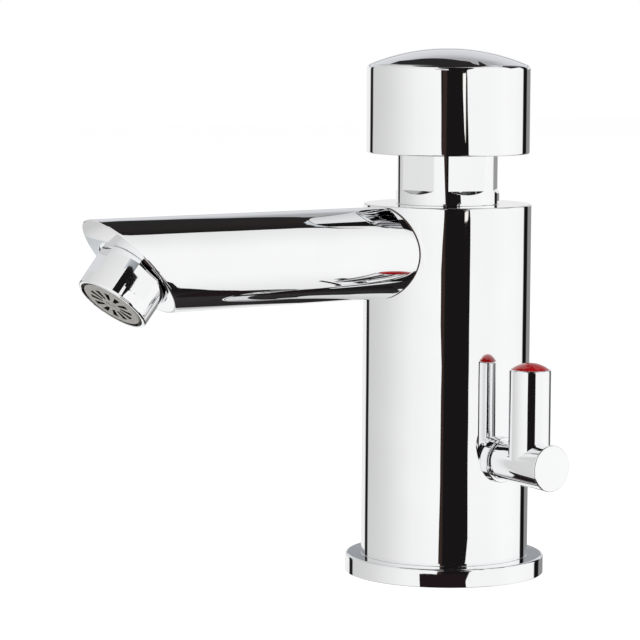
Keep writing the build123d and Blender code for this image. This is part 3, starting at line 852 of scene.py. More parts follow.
@dataclass
class Column:
    """The column with its base flange and the neck, which is the head nut."""

    body_radius: float = 25.0
    body_top: float = 110.5
    body_edge: float = 0.45
    body_foot_edge: float = 0.15
    flange_radius: float = 29.75
    flange_height: float = 5.4
    flange_edge: float = 0.75
    flange_foot_edge: float = 0.12
    spigot_radius: float = 22.0
    gasket_radii: Pair = (23.17, 28.23)
    gasket_depth: float = 1.2
    bores: Sequence[Pair] = ((15.0, 102.3), (13.0, 62.0), (10.0, 47.5), (4.0, 36.5))
    inlet_offset: float = 7.5
    inlet_radius: float = 4.5
    inlet_length: float = 12.0
    pocket_radius: float = 4.3
    pocket_end: float = 20.0
    inlet_way_radius: float = 3.5
    stud_offset: float = 12.5
    stud_radius: float = 3.4
    stud_length: float = 16.0
    lever_height: float = 36.5
    lever_bore: float = 6.75
    lever_bore_end: float = -10.0
    spout_height: float = 96.8
    tenon_radius: float = 9.03
    tenon_floor: float = 19.0
    spout_way_radius: float = 5.0
    neck_radius: float = 15.4
    neck_top: float = 128.5
    neck_edge: float = 0.3
    neck_thread_radius: float = 14.9
    neck_thread_edge: float = 0.4
    neck_foot: float = 104.8
    neck_chamber_radius: float = 11.0
    neck_roof: float = 123.5
    bush_radius: float = 5.53
    flats_low: float = 113.6
    flats_full: float = 114.8
    flats_rings: int = 16
    flats_half_width: float = 14.3
    flats_turn: float = 43.0
    flats_count: int = 6

    def flange(self) -> bpy.types.Object:
        """Makes the base flange with the groove of its gasket.

        Returns:
            The flange.
        """
        inner, outer = self.gasket_radii
        bore = self.spigot_radius + SEAT_GAP
        corners = [
            Corner(bore, 0.0),
            Corner(inner, 0.0),
            Corner(inner, self.gasket_depth),
            Corner(outer, self.gasket_depth),
            Corner(outer, 0.0),
            Corner(self.flange_radius, 0.0, self.flange_foot_edge),
            Corner(self.flange_radius, self.flange_height, self.flange_edge),
            Corner(bore, self.flange_height),
        ]
        return smooth(turned_corners("base_flange_chrome", corners))

    def body(self) -> bpy.types.Object:
        """Makes the column with all its bores, from above, below and the sides.

        Returns:
            The column.
        """
        top, foot = self.body_top, self.flange_height
        corners = [
            Corner(0.0, 0.0),
            Corner(self.spigot_radius, 0.0, FINE_EDGE),
            Corner(self.spigot_radius, foot),
            Corner(self.body_radius, foot, self.body_foot_edge),
            Corner(self.body_radius, top, self.body_edge),
            Corner(self.bores[0][0], top, FINE_EDGE),
        ]
        following = [radius for radius, _ in self.bores[1:]] + [0.0]
        for (radius, floor), smaller in zip(self.bores, following):
            corners += [Corner(radius, floor), Corner(smaller, floor)]
        piece = turned_corners("column_chrome", corners, closed=False)
        fine = FINE_CUTTER_AROUND
        cutters = []
        for side in (-1, 1):
            inlet = upright(y=side * self.inlet_offset)
            cutters += [
                plug(inlet, self.inlet_radius, -OVERRUN, self.inlet_length),
                plug(inlet, self.pocket_radius, OVERRUN, self.pocket_end),
                plug(inlet, self.inlet_way_radius, 2 * OVERRUN, self.lever_height, fine),
            ]
        lever, spout = level(self.lever_height, TO_LEVER), level(self.spout_height, TO_SPOUT)
        outside = self.body_radius + 2 * OVERRUN
        cutters += [
            plug(upright(-self.stud_offset), self.stud_radius, -OVERRUN, self.stud_length, fine),
            plug(lever, self.lever_bore, self.lever_bore_end, outside),
            plug(spout, self.tenon_radius, self.tenon_floor, outside),
            plug(spout, self.spout_way_radius, 0.0, self.body_radius + OVERRUN, fine),
        ]
        return smooth(cut(piece, *cutters))

    def neck_reach(self, angle: float, radius: float, place: float) -> float:
        """Gives the neck's radius where its spanner flats cut it, with the slope at their foot.

        Args:
            angle: The angle round the axis.
            radius: The outline's radius.
            place: Its place along the axis.

        Returns:
            The radius at that angle.
        """
        if radius < self.neck_radius - 1.0 or place < self.flats_low - TOLERANCE:
            return radius
        off = from_flat(angle, self.flats_turn, self.flats_count)
        slope = max(0.0, self.flats_full - place)
        flat = (self.flats_half_width + slope) / math.cos(off)
        return min(radius, flat - (self.neck_radius - radius))

    def neck(self) -> bpy.types.Object:
        """Makes the neck: a round foot, six flats above it, and the bored roof.

        Returns:
            The neck.
        """
        slope = self.flats_full - self.flats_low
        shares = [step / self.flats_rings for step in range(self.flats_rings + 1)]
        corners = [
            Corner(self.neck_chamber_radius, self.neck_foot),
            Corner(self.neck_thread_radius, self.neck_foot, self.neck_thread_edge),
            Corner(self.neck_thread_radius, self.body_top),
            Corner(self.neck_radius, self.body_top, FINE_EDGE),
            *[Corner(self.neck_radius, self.flats_low + slope * share) for share in shares],
            Corner(self.neck_radius, self.neck_top, self.neck_edge),
            Corner(self.bush_radius, self.neck_top, FINE_EDGE),
            Corner(self.bush_radius, self.neck_roof),
            Corner(self.neck_chamber_radius, self.neck_roof),
        ]
        piece = turned_corners(
            "neck_chrome", corners, around=FACETED_AROUND, reach=self.neck_reach
        )
        return smooth(piece, FACETED_SHARP_ANGLE)

    def build(self) -> None:
        """Makes the column's pieces and places them."""
        publish(self.flange(), Body.TAP, CHROME, "base_flange")
        publish(self.body(), Body.TAP, CHROME, "body")
        publish(self.neck(), Body.TAP, CHROME, "head_nut")


# -------------------------------------------------------------------- spout


@dataclass
class Spout:
    """The round spout with its oblique flat end, and the aerator in that end."""

    column_radius: float = 25.0
    radius: float = 13.5
    height: float = 96.8
    reach: float = 127.0
    slope: float = 47.0
    edge: float = 0.8
    edge_steps: int = 4
    root_edge: float = 0.75
    root_rings: Sequence[Triple] = (
        (1.0, 1.0, 0.0), (0.25, 0.996, SEAT_GAP), (0.0, 0.986, SEAT_GAP), (0.0, 0.66, SEAT_GAP),
        (0.0, 0.33, SEAT_GAP),
    )
    # Painted shade: the share of the root's rounded edge that is painted dark along the seam.
    seam_share: float = 0.8
    around: int = 256
    along: int = 40
    aerator_shift: float = 2.4
    aerator_lean: float = 7.0
    recess_radius: float = 11.7
    recess_depth: float = 1.8
    recess_lip: float = 0.12
    recess_lip_share: float = 0.3
    thread_radius: float = 10.03
    thread_depth: float = 6.4
    way_radius: float = 7.0
    way_depth: float = 9.5
    collar_radius: float = 10.9
    collar_length: float = 11.2
    collar_thread: float = 10.0
    collar_thread_length: float = 5.2
    collar_thread_edge: float = 0.3
    collar_bore: float = 8.95
    collar_mouth: float = 9.85
    collar_mouth_depth: float = 1.6
    collar_edge: float = 0.62
    collar_back_edge: float = 0.15
    collar_flat: float = 10.3
    collar_flat_rim: float = 3.4
    collar_flat_count: int = 4
    collar_flat_turn: float = 10.9
    insert_radius: float = 8.92
    insert_length: float = 5.6
    insert_recess: float = 0.05
    insert_edges: Pair = (0.3, 0.35)
    insert_border: float = 0.7
    insert_around: int = 144
    slot_radii: Pair = (2.9, 6.7)
    slot_angle: float = 15.0
    slot_depth: float = 3.0
    slot_count: int = 12
    slot_turn: float = -5.0
    core_slot: Pair = (3.4, 1.1)
    core_turn: float = -40.0
    # Painted shade: its depth in the grille, and its border and ledge in the collar's mouth.
    painted_shade_depth: float = 0.4
    painted_shade_border: Pair = (0.1, 0.02)

    def face_up(self) -> Vector:
        """Gives the direction up the oblique face."""
        tilt = math.radians(self.slope)
        return Vector((0, -math.cos(tilt), math.sin(tilt)))

    def way_out(self, lean: float = 0.0) -> Vector:
        """Gives the direction square out of the oblique face, or leaning from it by an angle."""
        tilt = math.radians(self.slope - lean)
        return Vector((0, -math.sin(tilt), -math.cos(tilt)))

    def aerator_frame(self) -> Placement:
        """Gives the aerator's axis: its centre in the oblique face, the way out, and the side.

        Returns:
            The axis, with its origin in the oblique face.
        """
        top = Vector((0, -self.reach, self.height + self.radius))
        along_face = self.radius / math.sin(math.radians(self.slope)) + self.aerator_shift
        origin = top - self.face_up() * along_face
        return Placement(origin, self.way_out(self.aerator_lean), TO_LEVER)

    def shell_tree(self) -> ShapeTree:
        """Builds the tube between its two ends: the column's round and the oblique plane.

        Returns:
            The tree, with the tube's sizes as named inputs.
        """
        shape = ShapeTree("spout_tube")
        bench = shape.bench
        radius = shape.size("Tube Radius", self.radius * MM)
        column = shape.size("Column Radius", self.column_radius * MM)
        height = shape.size("Axis Height", self.height * MM)
        reach = shape.size("Top Reach", self.reach * MM)
        slope = shape.size("Face Slope", math.radians(self.slope))
        root = shape.size("Root Edge", self.root_edge * MM)
        tip = shape.size("Tip Edge", self.edge * MM)
        around = shape.size("Around", self.around + 1)
        along = shape.size("Along", self.along)
        sheet = bench.add("GeometryNodeMeshGrid")
        sheet.inputs["Size X"].default_value = 1.0
        sheet.inputs["Size Y"].default_value = 1.0
        bench.feed(sheet.inputs["Vertices X"], along)
        bench.feed(sheet.inputs["Vertices Y"], around)
        x, y, _ = shape.spot()
        share = bench.math("ADD", x, 0.5)
        turn = bench.math("MULTIPLY", bench.math("ADD", y, 0.5), 2 * math.pi)
        across = bench.math("MULTIPLY", radius, bench.math("COSINE", turn))
        rise = bench.math("MULTIPLY", radius, bench.math("SINE", turn))
        column_square = bench.math("MULTIPLY", column, column)
        square = bench.math("SUBTRACT", column_square, bench.math("MULTIPLY", across, across))
        wall = bench.math("MULTIPLY", bench.math("SQRT", square), -1.0)
        start = bench.math("SUBTRACT", wall, root)
        drop = bench.math("SUBTRACT", radius, rise)
        lean = bench.math("DIVIDE", drop, bench.math("TANGENT", slope))
        end = bench.math("ADD", bench.math("SUBTRACT", lean, reach), tip)
        gone = bench.math("SUBTRACT", end, start)
        along_y = bench.math("MULTIPLY_ADD", gone, share, start)
        level_z = bench.math("ADD", height, rise)
        moved = shape.place(sheet.outputs["Mesh"], across, along_y, level_z)
        seam = bench.add("GeometryNodeMergeByDistance")
        bench.feed(seam.inputs["Geometry"], moved)
        seam.inputs["Distance"].default_value = GRID_DOUBLES
        shape.close(seam.outputs["Geometry"], CHROME.material())
        return shape

    def ring(self, share: float = 1.0) -> list[Pair]:
        """Gives the points round the tube, beside and above its axis, at a share of its radius.

        Args:
            share: The ring's radius as a share of the tube's.

        Returns:
            Places beside the axis and above it.
        """
        turns = [2 * math.pi * step / self.around for step in range(self.around)]
        size = self.radius * share
        return [(size * math.cos(turn), size * math.sin(turn)) for turn in turns]

    def end_loops(self) -> list[list[Vector]]:
        """Gives the loops that close the tip: rounded rim, flat face, recess, thread and way.

        Returns:
            The loops, from the rim inwards.
        """
        bore = self.aerator_frame()
        face_out = self.way_out()
        middle = bore.origin + self.face_up() * self.aerator_shift
        cross = bore.cross()
        outer = []
        for across, rise in self.ring():
            back = (self.radius - rise) / math.tan(math.radians(self.slope))
            outer.append(Vector((across, back - self.reach, self.height + rise)))
        loops = []
        for share in (step / self.edge_steps for step in range(self.edge_steps + 1)):
            loop = []
            for corner in outer:
                wall = corner + Vector((0, self.edge, 0))
                inner = corner + (middle - corner).normalized() * self.edge
                bend = corner * (2 * share * (1 - share))
                loop.append(wall * (1 - share) ** 2 + bend + inner * share**2)
            loops.append(loop)
        lip, fold = self.recess_lip, self.recess_lip * self.recess_lip_share
        for radius, depth, follows_face in (
            (self.recess_radius + lip, 0.0, True),
            (self.recess_radius + fold, fold, True),
            (self.recess_radius, lip, True),
            (self.recess_radius, self.recess_depth, False),
            (self.thread_radius, self.recess_depth, False),
            (self.thread_radius, self.thread_depth, False),
            (self.way_radius, self.thread_depth, False),
            (self.way_radius, self.way_depth, False),
        ):
            loop = []
            for corner in outer:
                flat = corner - bore.origin
                angle = math.atan2(flat.dot(cross), flat.dot(bore.side))
                lean = -radius * math.sin(angle) * cross.dot(face_out) / bore.axis.dot(face_out)
                loop.append(bore.point(radius, angle, (lean if follows_face else 0.0) - depth))
            loops.append(loop)
        return loops

    def root_loops(self) -> list[list[Vector]]:
        """Gives the loops that close the root: its rounded edge and the hollow for the column.

        Returns:
            The loops, from the edge inwards.
        """
        loops = []
        for edge_share, share, gap in self.root_rings:
            loop = []
            for across, rise in self.ring(share):
                near = math.sqrt((self.column_radius + gap) ** 2 - across**2)
                away = self.root_edge * edge_share
                loop.append(Vector((across, -near - away, self.height + rise)))
            loops.append(loop)
        return loops

    def tube(self) -> bpy.types.Object:
        """Makes the spout: the ruled tube and its two ends.

        Returns:
            The spout.
        """
        piece = self.shell_tree().grow("spout_chrome")
        work = bmesh.new()
        work.from_mesh(piece.data)
        for loops in (self.end_loops(), self.root_loops()):
            rows = [[work.verts.new(point * MM) for point in loop] for loop in loops]
            for first, second in zip(rows, rows[1:]):
                for step in range(self.around):
                    after = (step + 1) % self.around
                    work.faces.new((first[step], first[after], second[after], second[step]))
            work.faces.new(rows[-1])
        work.to_mesh(piece.data)
        work.free()
        tidy_mesh(piece, SEAM_DOUBLES)
        return smooth(piece)

    def collar_reach(self, angle: float, radius: float, place: float) -> float:
        """Gives the collar's radius where its spanner flats cut it, from the spout to the rim.

        Args:
            angle: The angle round the axis.
            radius: The outline's radius.
            place: Its place along the axis.

        Returns:
            The radius at that angle.
        """
        ledge = self.collar_length - self.collar_flat_rim
        if radius < self.collar_flat or place > ledge - TOLERANCE:
            return radius
        off = from_flat(angle, self.collar_flat_turn, self.collar_flat_count)
        return min(radius, self.collar_flat / math.cos(off))

    def collar(self) -> bpy.types.Object:
        """Makes the aerator's collar.

        Returns:
            The collar.
        """
        end, bore, thread_end = self.collar_length, self.collar_bore, -self.collar_thread_length
        ledge = end - self.collar_flat_rim
        corners = [
            Corner(bore, thread_end),
            Corner(self.collar_thread, thread_end, self.collar_thread_edge),
            Corner(self.collar_thread, -self.recess_depth),
            Corner(self.collar_radius, -self.recess_depth, self.collar_back_edge),
            Corner(self.collar_radius, ledge - LEVEL_STEP),
            Corner(self.collar_radius, ledge),
            Corner(self.collar_radius, end, self.collar_edge),
            Corner(self.collar_mouth, end, FINE_EDGE),
            Corner(self.collar_mouth, end - self.collar_mouth_depth),
            Corner(bore, end - self.collar_mouth_depth),
        ]
        piece = turned_corners(
            "aerator_collar_chrome",
            corners,
            self.aerator_frame(),
            around=FACETED_AROUND,
            reach=self.collar_reach,
        )
        return smooth(piece, FACETED_SHARP_ANGLE)

    def grille_tree(self) -> ShapeTree:
        """Builds the ring of wedge-shaped slots as one cutter, repeated round the axis.

        Returns:
            The tree.
        """
        shape = ShapeTree("aerator_slots")
        bench = shape.bench
        near = shape.size("Inner Radius", self.slot_radii[0] * MM)
        far = shape.size("Outer Radius", self.slot_radii[1] * MM)
        wide = shape.size("Slot Angle", math.radians(self.slot_angle))
        deep = shape.size("Slot Depth", self.slot_depth * MM)
        over = shape.size("Overrun", OVERRUN * MM)
        count = shape.size("Slots", self.slot_count)
        block = bench.add("GeometryNodeMeshCube")
        block.inputs["Size"].default_value = (1.0, 1.0, 1.0)
        for label, number in (("Vertices X", 2), ("Vertices Y", 5), ("Vertices Z", 2)):
            block.inputs[label].default_value = number
        x, y, z = shape.spot()
        span = bench.math("SUBTRACT", far, near)
        radius = bench.math("MULTIPLY_ADD", bench.math("ADD", x, 0.5), span, near)
        angle = bench.math("MULTIPLY", y, wide)
        whole = bench.math("ADD", deep, over)
        raised = bench.math("MULTIPLY", bench.math("ADD", z, 0.5), whole)
        wedge = shape.place(
            block.outputs["Mesh"],
            bench.math("MULTIPLY", radius, bench.math("COSINE", angle)),
            bench.math("MULTIPLY", radius, bench.math("SINE", angle)),
            bench.math("SUBTRACT", raised, deep),
        )
        spots = bench.add("GeometryNodePoints")
        bench.feed(spots.inputs["Count"], count)
        order = bench.add("GeometryNodeInputIndex")
        pitch = bench.math("DIVIDE", 2 * math.pi, count)
        turn = bench.add("ShaderNodeCombineXYZ")
        bench.feed(turn.inputs["Z"], bench.math("MULTIPLY", order.outputs[0], pitch))
        repeat = bench.add("GeometryNodeInstanceOnPoints")
        bench.feed(repeat.inputs["Points"], spots.outputs[0])
        bench.feed(repeat.inputs["Instance"], wedge)
        bench.feed(repeat.inputs["Rotation"], turn.outputs[0])
        shape.close(repeat.outputs["Instances"], CREAM_PLASTIC.material())
        return shape

    def slot_cutters(self, face: Placement) -> tuple[bpy.types.Object, bpy.types.Object]:
        """Makes the cutters of the grille.

        Args:
            face: The insert's axis, with its origin in its outer face.

        Returns:
            The ring of slots and the short slot in the middle.
        """
        slots = self.grille_tree().grow("slot_cutters")
        turn = Matrix((face.side, face.cross(), face.axis)).transposed().to_4x4()
        start = Matrix.Rotation(math.radians(self.slot_turn), 4, "Z")
        slots.data.transform(Matrix.Translation(face.origin * MM) @ turn @ start)
        length, width = self.core_slot
        core_turn = Matrix.Rotation(math.radians(self.core_turn), 3, "Z")
        points = []
        for depth in (-self.slot_depth, OVERRUN):
            for beside in (-width / 2, width / 2):
                for along in (-length / 2, length / 2):
                    x, y, z = core_turn @ Vector((along, beside, depth))
                    points.append(face.origin + face.side * x + face.cross() * y + face.axis * z)
        sides = [(0, 1, 3, 2), (4, 6, 7, 5), (0, 4, 5, 1), (1, 5, 7, 3), (3, 7, 6, 2), (2, 6, 4, 0)]
        return slots, mesh_object("core_cutter", points, sides)

    def insert(self) -> bpy.types.Object:
        """Makes the plastic insert with its slotted face.

        Returns:
            The insert.
        """
        spot = self.aerator_frame()
        out = self.collar_length - self.insert_recess
        face = Placement(spot.origin + spot.axis * out, spot.axis, spot.side)
        back_edge, front_edge = self.insert_edges
        corners = [
            Corner(0.0, -self.insert_length),
            Corner(self.insert_radius, -self.insert_length, back_edge),
            Corner(self.insert_radius, 0.0, front_edge),
            Corner(self.slot_radii[1] + self.insert_border, 0.0),
            Corner(0.0, 0.0),
        ]
        piece = turned_corners(
            "aerator_insert_plastic", corners, face, closed=False, around=self.insert_around
        )
        return smooth(cut(piece, *self.slot_cutters(face)))

    def build(self) -> None:
        """Makes the spout's pieces, places them and paints shade on the seam, the mouth and the
        grille's depths.
        """
        spout = publish(self.tube(), Body.TAP, CHROME, "spout")
        # Painted shade: a dark line for the shadow gap where the spout meets the column.
        seam = self.column_radius + self.seam_share * self.root_edge
        paint(spout, PAINTED_SHADE_AND_SCREEN, upright(), lambda radius, place: radius < seam)
        axis = self.aerator_frame()
        collar = publish(self.collar(), Body.TAP, CHROME, "aerator_collar")
        # Painted shade: the collar's mouth floor and bore round the insert, where shade falls.
        border, ledge = self.painted_shade_border
        mouth = self.collar_mouth - border
        floor = self.collar_length - self.collar_mouth_depth + ledge
        paint(collar, PAINTED_SHADE_AND_SCREEN, axis, lambda radius, place: radius < mouth and place < floor)
        insert = publish(self.insert(), Body.TAP, CREAM_PLASTIC, "aerator_insert")
        # Painted shade: the grille's walls and floors and the insert's sides below its face.
        face = self.collar_length - self.insert_recess - self.painted_shade_depth
        paint(insert, PAINTED_SHADE_AND_SCREEN, axis, lambda radius, place: place < face)


# ------------------------------------------------------------------ push cap


@dataclass
class PushCap:
    """The large push cap with its crowned top."""

    radius: float = 24.25
    wall: float = 2.0
    low: float = 125.45
    shoulder: float = 151.45
    apex: float = 156.4999
    shoulder_round: float = 1.6
    rim_edge: float = 0.45
    inner_edge: float = 0.3
    ceiling: float = 149.05
    ceiling_round: float = 1.0
    boss_radius: float = 6.5
    boss_low: float = 138.8
    boss_round: float = 0.8
    socket_radius: float = 3.03
    socket_top: float = 150.8
    crown_inset: float = 0.02
    crown_steps: int = 28
    crown_start: int = 4
    around: int = 256

    def cap(self) -> bpy.types.Object:
        """Makes the cap with its skirt, roof and the boss that holds the stem.

        Returns:
            The cap.
        """
        rim = self.radius - self.crown_inset
        crown = dome_outline(rim, self.shoulder, self.apex, self.crown_steps)
        inner = self.radius - self.wall
        corners = [
            Corner(0.0, self.socket_top),
            Corner(self.socket_radius, self.socket_top),
            Corner(self.socket_radius, self.boss_low),
            Corner(self.boss_radius, self.boss_low, self.inner_edge),
            Corner(self.boss_radius, self.ceiling, self.boss_round),
            Corner(inner, self.ceiling, self.ceiling_round),
            Corner(inner, self.low, self.inner_edge),
            Corner(self.radius, self.low, self.rim_edge),
            Corner(self.radius, self.shoulder, self.shoulder_round),
            Corner(*crown[self.crown_start]),
        ]
        outline = rounded_outline(corners, closed=False) + crown[self.crown_start + 1 :]
        return smooth(turned_piece("push_cap_chrome", outline, closed=False, around=self.around))

    def build(self) -> None:
        """Makes the cap and places it."""
        publish(self.cap(), Body.PUSH, CHROME, "push_cap")


# -------------------------------------------------------------------- lever


@dataclass
class Lever:
    """The temperature lever with its gland and its red index disc."""

    height: float = 36.5
    gland_start: float = 14.75
    gland_end: float = 27.0
    gland_radius: float = 6.72
    gland_bore: float = 4.05
    gland_edge: float = 0.4
    hub_start: float = 27.3
    hub_end: float = 48.0
    hub_radii: Pair = (5.75, 6.8)
    hub_edges: Pair = (0.25, 0.4)
    hub_bore: float = 4.03
    hub_bore_end: float = 44.43
    rod_centre: float = 38.0
    rod_radius: float = 6.1
    rod_top: float = 64.4
    rod_edge: float = 0.5
    disc_radius: float = 5.5
    disc_depth: float = 1.2
    disc_dome: float = 1.9
    disc_seat_edge: float = 0.1
    disc_steps: int = 16
    disc_around: int = 96
    grub_radius: float = 2.03
    grub_length: float = 8.0

    def gland(self) -> bpy.types.Object:
        """Makes the ring that holds the spindle in the column.

        Returns:
            The gland.
        """
        corners = [
            Corner(self.gland_bore, self.gland_start),
            Corner(self.gland_radius, self.gland_start, FINE_EDGE),
            Corner(self.gland_radius, self.gland_end, self.gland_edge),
            Corner(self.gland_bore, self.gland_end, FINE_EDGE),
        ]
        return smooth(turned_corners("side_gland_chrome", corners, level(self.height, TO_LEVER)))

    def handle(self) -> bpy.types.Object:
        """Makes the hub and the rod as one casting.

        Returns:
            The lever.
        """
        small, large = self.hub_radii
        start_edge, end_edge = self.hub_edges
        hub = [
            Corner(0.0, self.hub_start),
            Corner(small, self.hub_start, start_edge),
            Corner(large, self.hub_end, end_edge),
            Corner(0.0, self.hub_end),
        ]
        seat, floor = self.disc_radius + SEAT_GAP, self.rod_top - self.disc_depth
        rod = [
            Corner(0.0, self.height),
            Corner(self.rod_radius, self.height),
            Corner(self.rod_radius, self.rod_top, self.rod_edge),
            Corner(seat, self.rod_top, self.disc_seat_edge),
            Corner(seat, floor),
            Corner(0.0, floor),
        ]
        axis, rise = level(self.height, TO_LEVER), upright(self.rod_centre)
        piece = turned_corners("mixing_lever_chrome", hub, axis, closed=False)
        cut(piece, turned_corners("rod", rod, rise, closed=False), join=True)
        bore = plug(axis, self.hub_bore, self.hub_start - OVERRUN, self.hub_bore_end)
        foot = self.height - self.grub_length
        screw = plug(rise, self.grub_radius, foot, self.height, FINE_CUTTER_AROUND)
        return smooth(cut(piece, bore, screw))

    def disc(self) -> bpy.types.Object:
        """Makes the domed red disc in the rod's end.

        Returns:
            The disc.
        """
        floor, apex = self.rod_top - self.disc_depth, self.rod_top + self.disc_dome
        outline = [(0.0, floor), (self.disc_radius, floor)]
        outline += dome_outline(self.disc_radius, self.rod_top, apex, self.disc_steps)
        rod = upright(self.rod_centre)
        name = "red_index_disc_plastic"
        return smooth(turned_piece(name, outline, rod, closed=False, around=self.disc_around))

    def build(self) -> None:
        """Makes the lever's pieces and places them."""
        publish(self.gland(), Body.TAP, CHROME, "side_gland")
        publish(self.handle(), Body.LEVER, CHROME, "mixing_lever")
        publish(self.disc(), Body.LEVER, RED_PLASTIC, "red_index_disc")


# ------------------------------------------------------------- inner pieces


@dataclass
class Cartridge:
    """The pieces inside: the return spring is rebuilt, the others keep their solids."""

    spring_low: float = 76.03
    spring_high: float = 92.97
    spring_radius: float = 7.9
    wire_radius: float = 0.6
    turns: float = 6.0
    turn_steps: int = 48
    wire_steps: int = 14
    keep: float = 0.587
    kept: Sequence[tuple[Finish, Sequence[str]]] = (
        (BRASS, ("guide_bush", "valve_seat", "closing_disc", "closing_disc_nut")),
        (BRASS, ("mixing_spool", "cartridge_sleeve", "stem_lock_nut")),
        (STEEL, ("push_stem", "stem_clip", "piston_clips", "stop_pin", "lever_grub_screw")),
        (PAINTED_SHADE_AND_SCREEN, ("aerator_screen",)),
        (RUBBER, ("base_gasket", "spout_gasket", "aerator_seal", "stem_o_ring")),
        (RUBBER, ("cartridge_gasket", "seat_gasket", "piston_lip_seal", "seat_washer")),
        (RUBBER, ("gland_o_ring", "spool_o_rings")),
        (WHITE_PLASTIC, ("piston", "hot_check_valve", "cold_check_valve")),
    )

    def spring_tree(self) -> ShapeTree:
        """Builds the coil spring as a wire swept along a helix.

        Returns:
            The tree.
        """
        shape = ShapeTree("coil_spring")
        bench = shape.bench
        radius = shape.size("Coil Radius", self.spring_radius * MM)
        wire = shape.size("Wire Radius", self.wire_radius * MM)
        turns = shape.size("Turns", self.turns)
        low = shape.size("Low End", self.spring_low * MM)
        high = shape.size("High End", self.spring_high * MM)
        helix = bench.add("GeometryNodeCurveSpiral")
        helix.inputs["Resolution"].default_value = self.turn_steps
        bench.feed(helix.inputs["Rotations"], turns)
        bench.feed(helix.inputs["Start Radius"], radius)
        bench.feed(helix.inputs["End Radius"], radius)
        whole = bench.math("SUBTRACT", high, low)
        free = bench.math("SUBTRACT", whole, bench.math("MULTIPLY", wire, 2.0))
        bench.feed(helix.inputs["Height"], free)
        section = bench.add("GeometryNodeCurvePrimitiveCircle")
        section.inputs["Resolution"].default_value = self.wire_steps
        bench.feed(section.inputs["Radius"], wire)
        sweep = bench.add("GeometryNodeCurveToMesh")
        bench.feed(sweep.inputs["Curve"], helix.outputs["Curve"])
        bench.feed(sweep.inputs["Profile Curve"], section.outputs["Curve"])
        sweep.inputs["Fill Caps"].default_value = True
        x, y, z = shape.spot()
        raised = bench.math("ADD", z, bench.math("ADD", low, wire))
        shape.close(shape.place(sweep.outputs["Mesh"], x, y, raised), STEEL.material())
        return shape

    def build(self) -> None:
        """Dresses the inner solids and rebuilds the spring."""
        for finish, names in self.kept:
            for name in names:
                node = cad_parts[name]
                node.data.materials.clear()
                node.data.materials.append(finish.material())
                LOG.info("%s keeps its solid, in %s", name, finish.name)
        spring = smooth(self.spring_tree().grow("return_spring_wire"), WIRE_SHARP_ANGLE)
        coil = publish(spring, Body.TAP, STEEL, "return_spring")
        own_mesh(coil)


# ------------------------------------------------------------------- studio


BLACK = (24, 22, 23)
WARM_BLACK = (33, 25, 27)
WARM_WHITE = (255, 255, 252)
WHITE = (252, 252, 252)


@dataclass(frozen=True)
class Plane:
    """The plane of a board: its origin and its two directions, in millimetres."""

    origin: Vector
    across: Vector
    up: Vector


@dataclass(frozen=True)
class Card:
    """A flat board beside the camera or round the set, which only mirrors show.

    The outline's points and the places of the shades lie in the plane, in millimetres. The shades
    are colours as they show on screen, from 0 to 255.
    """

    name: str
    plane: Plane
    shades: Sequence[tuple[float, Colour]]
    outline: Sequence[Pair]
    one_sided: bool = False

    def make(self) -> bpy.types.Object:
        """Makes the board with its glowing, slightly uneven paint.

        Returns:
            The board, hidden from all but mirror rays.
        """
        plane = self.plane
        points = [plane.origin + plane.across * x + plane.up * y for x, y in self.outline]
        board = mesh_object(self.name, points, [tuple(range(len(points)))])
        paint_on, bench = empty_material(self.name)
        where = bench.add("ShaderNodeTexCoord").outputs["Object"]
        low, high = self.shades[0][0], self.shades[-1][0]
        start = plane.origin.dot(plane.across)
        place = bench.math("SUBTRACT", bench.dot(where, plane.across / MM), start + low)
        share = bench.math("DIVIDE", place, high - low)
        stops = [
            ((spot - low) / (high - low), tone(*(part / 255 for part in shade)))
            for spot, shade in self.shades
        ]
        glow = bench.add("ShaderNodeEmission")
        bench.feed(glow.inputs["Color"], bench.ramp(share, stops))
        surface = glow.outputs[0]
        if self.one_sided:
            both = bench.add("ShaderNodeMixShader")
            bench.feed(both.inputs[0], bench.add("ShaderNodeNewGeometry").outputs["Backfacing"])
            bench.feed(both.inputs[1], surface)
            bench.feed(both.inputs[2], bench.add("ShaderNodeBsdfTransparent").outputs[0])
            surface = both.outputs[0]
        bench.end("ShaderNodeOutputMaterial", surface)
        board.data.materials.append(paint_on)
        board.visible_camera = False
        board.visible_diffuse = False
        board.visible_shadow = False
        board.visible_transmission = False
        return board


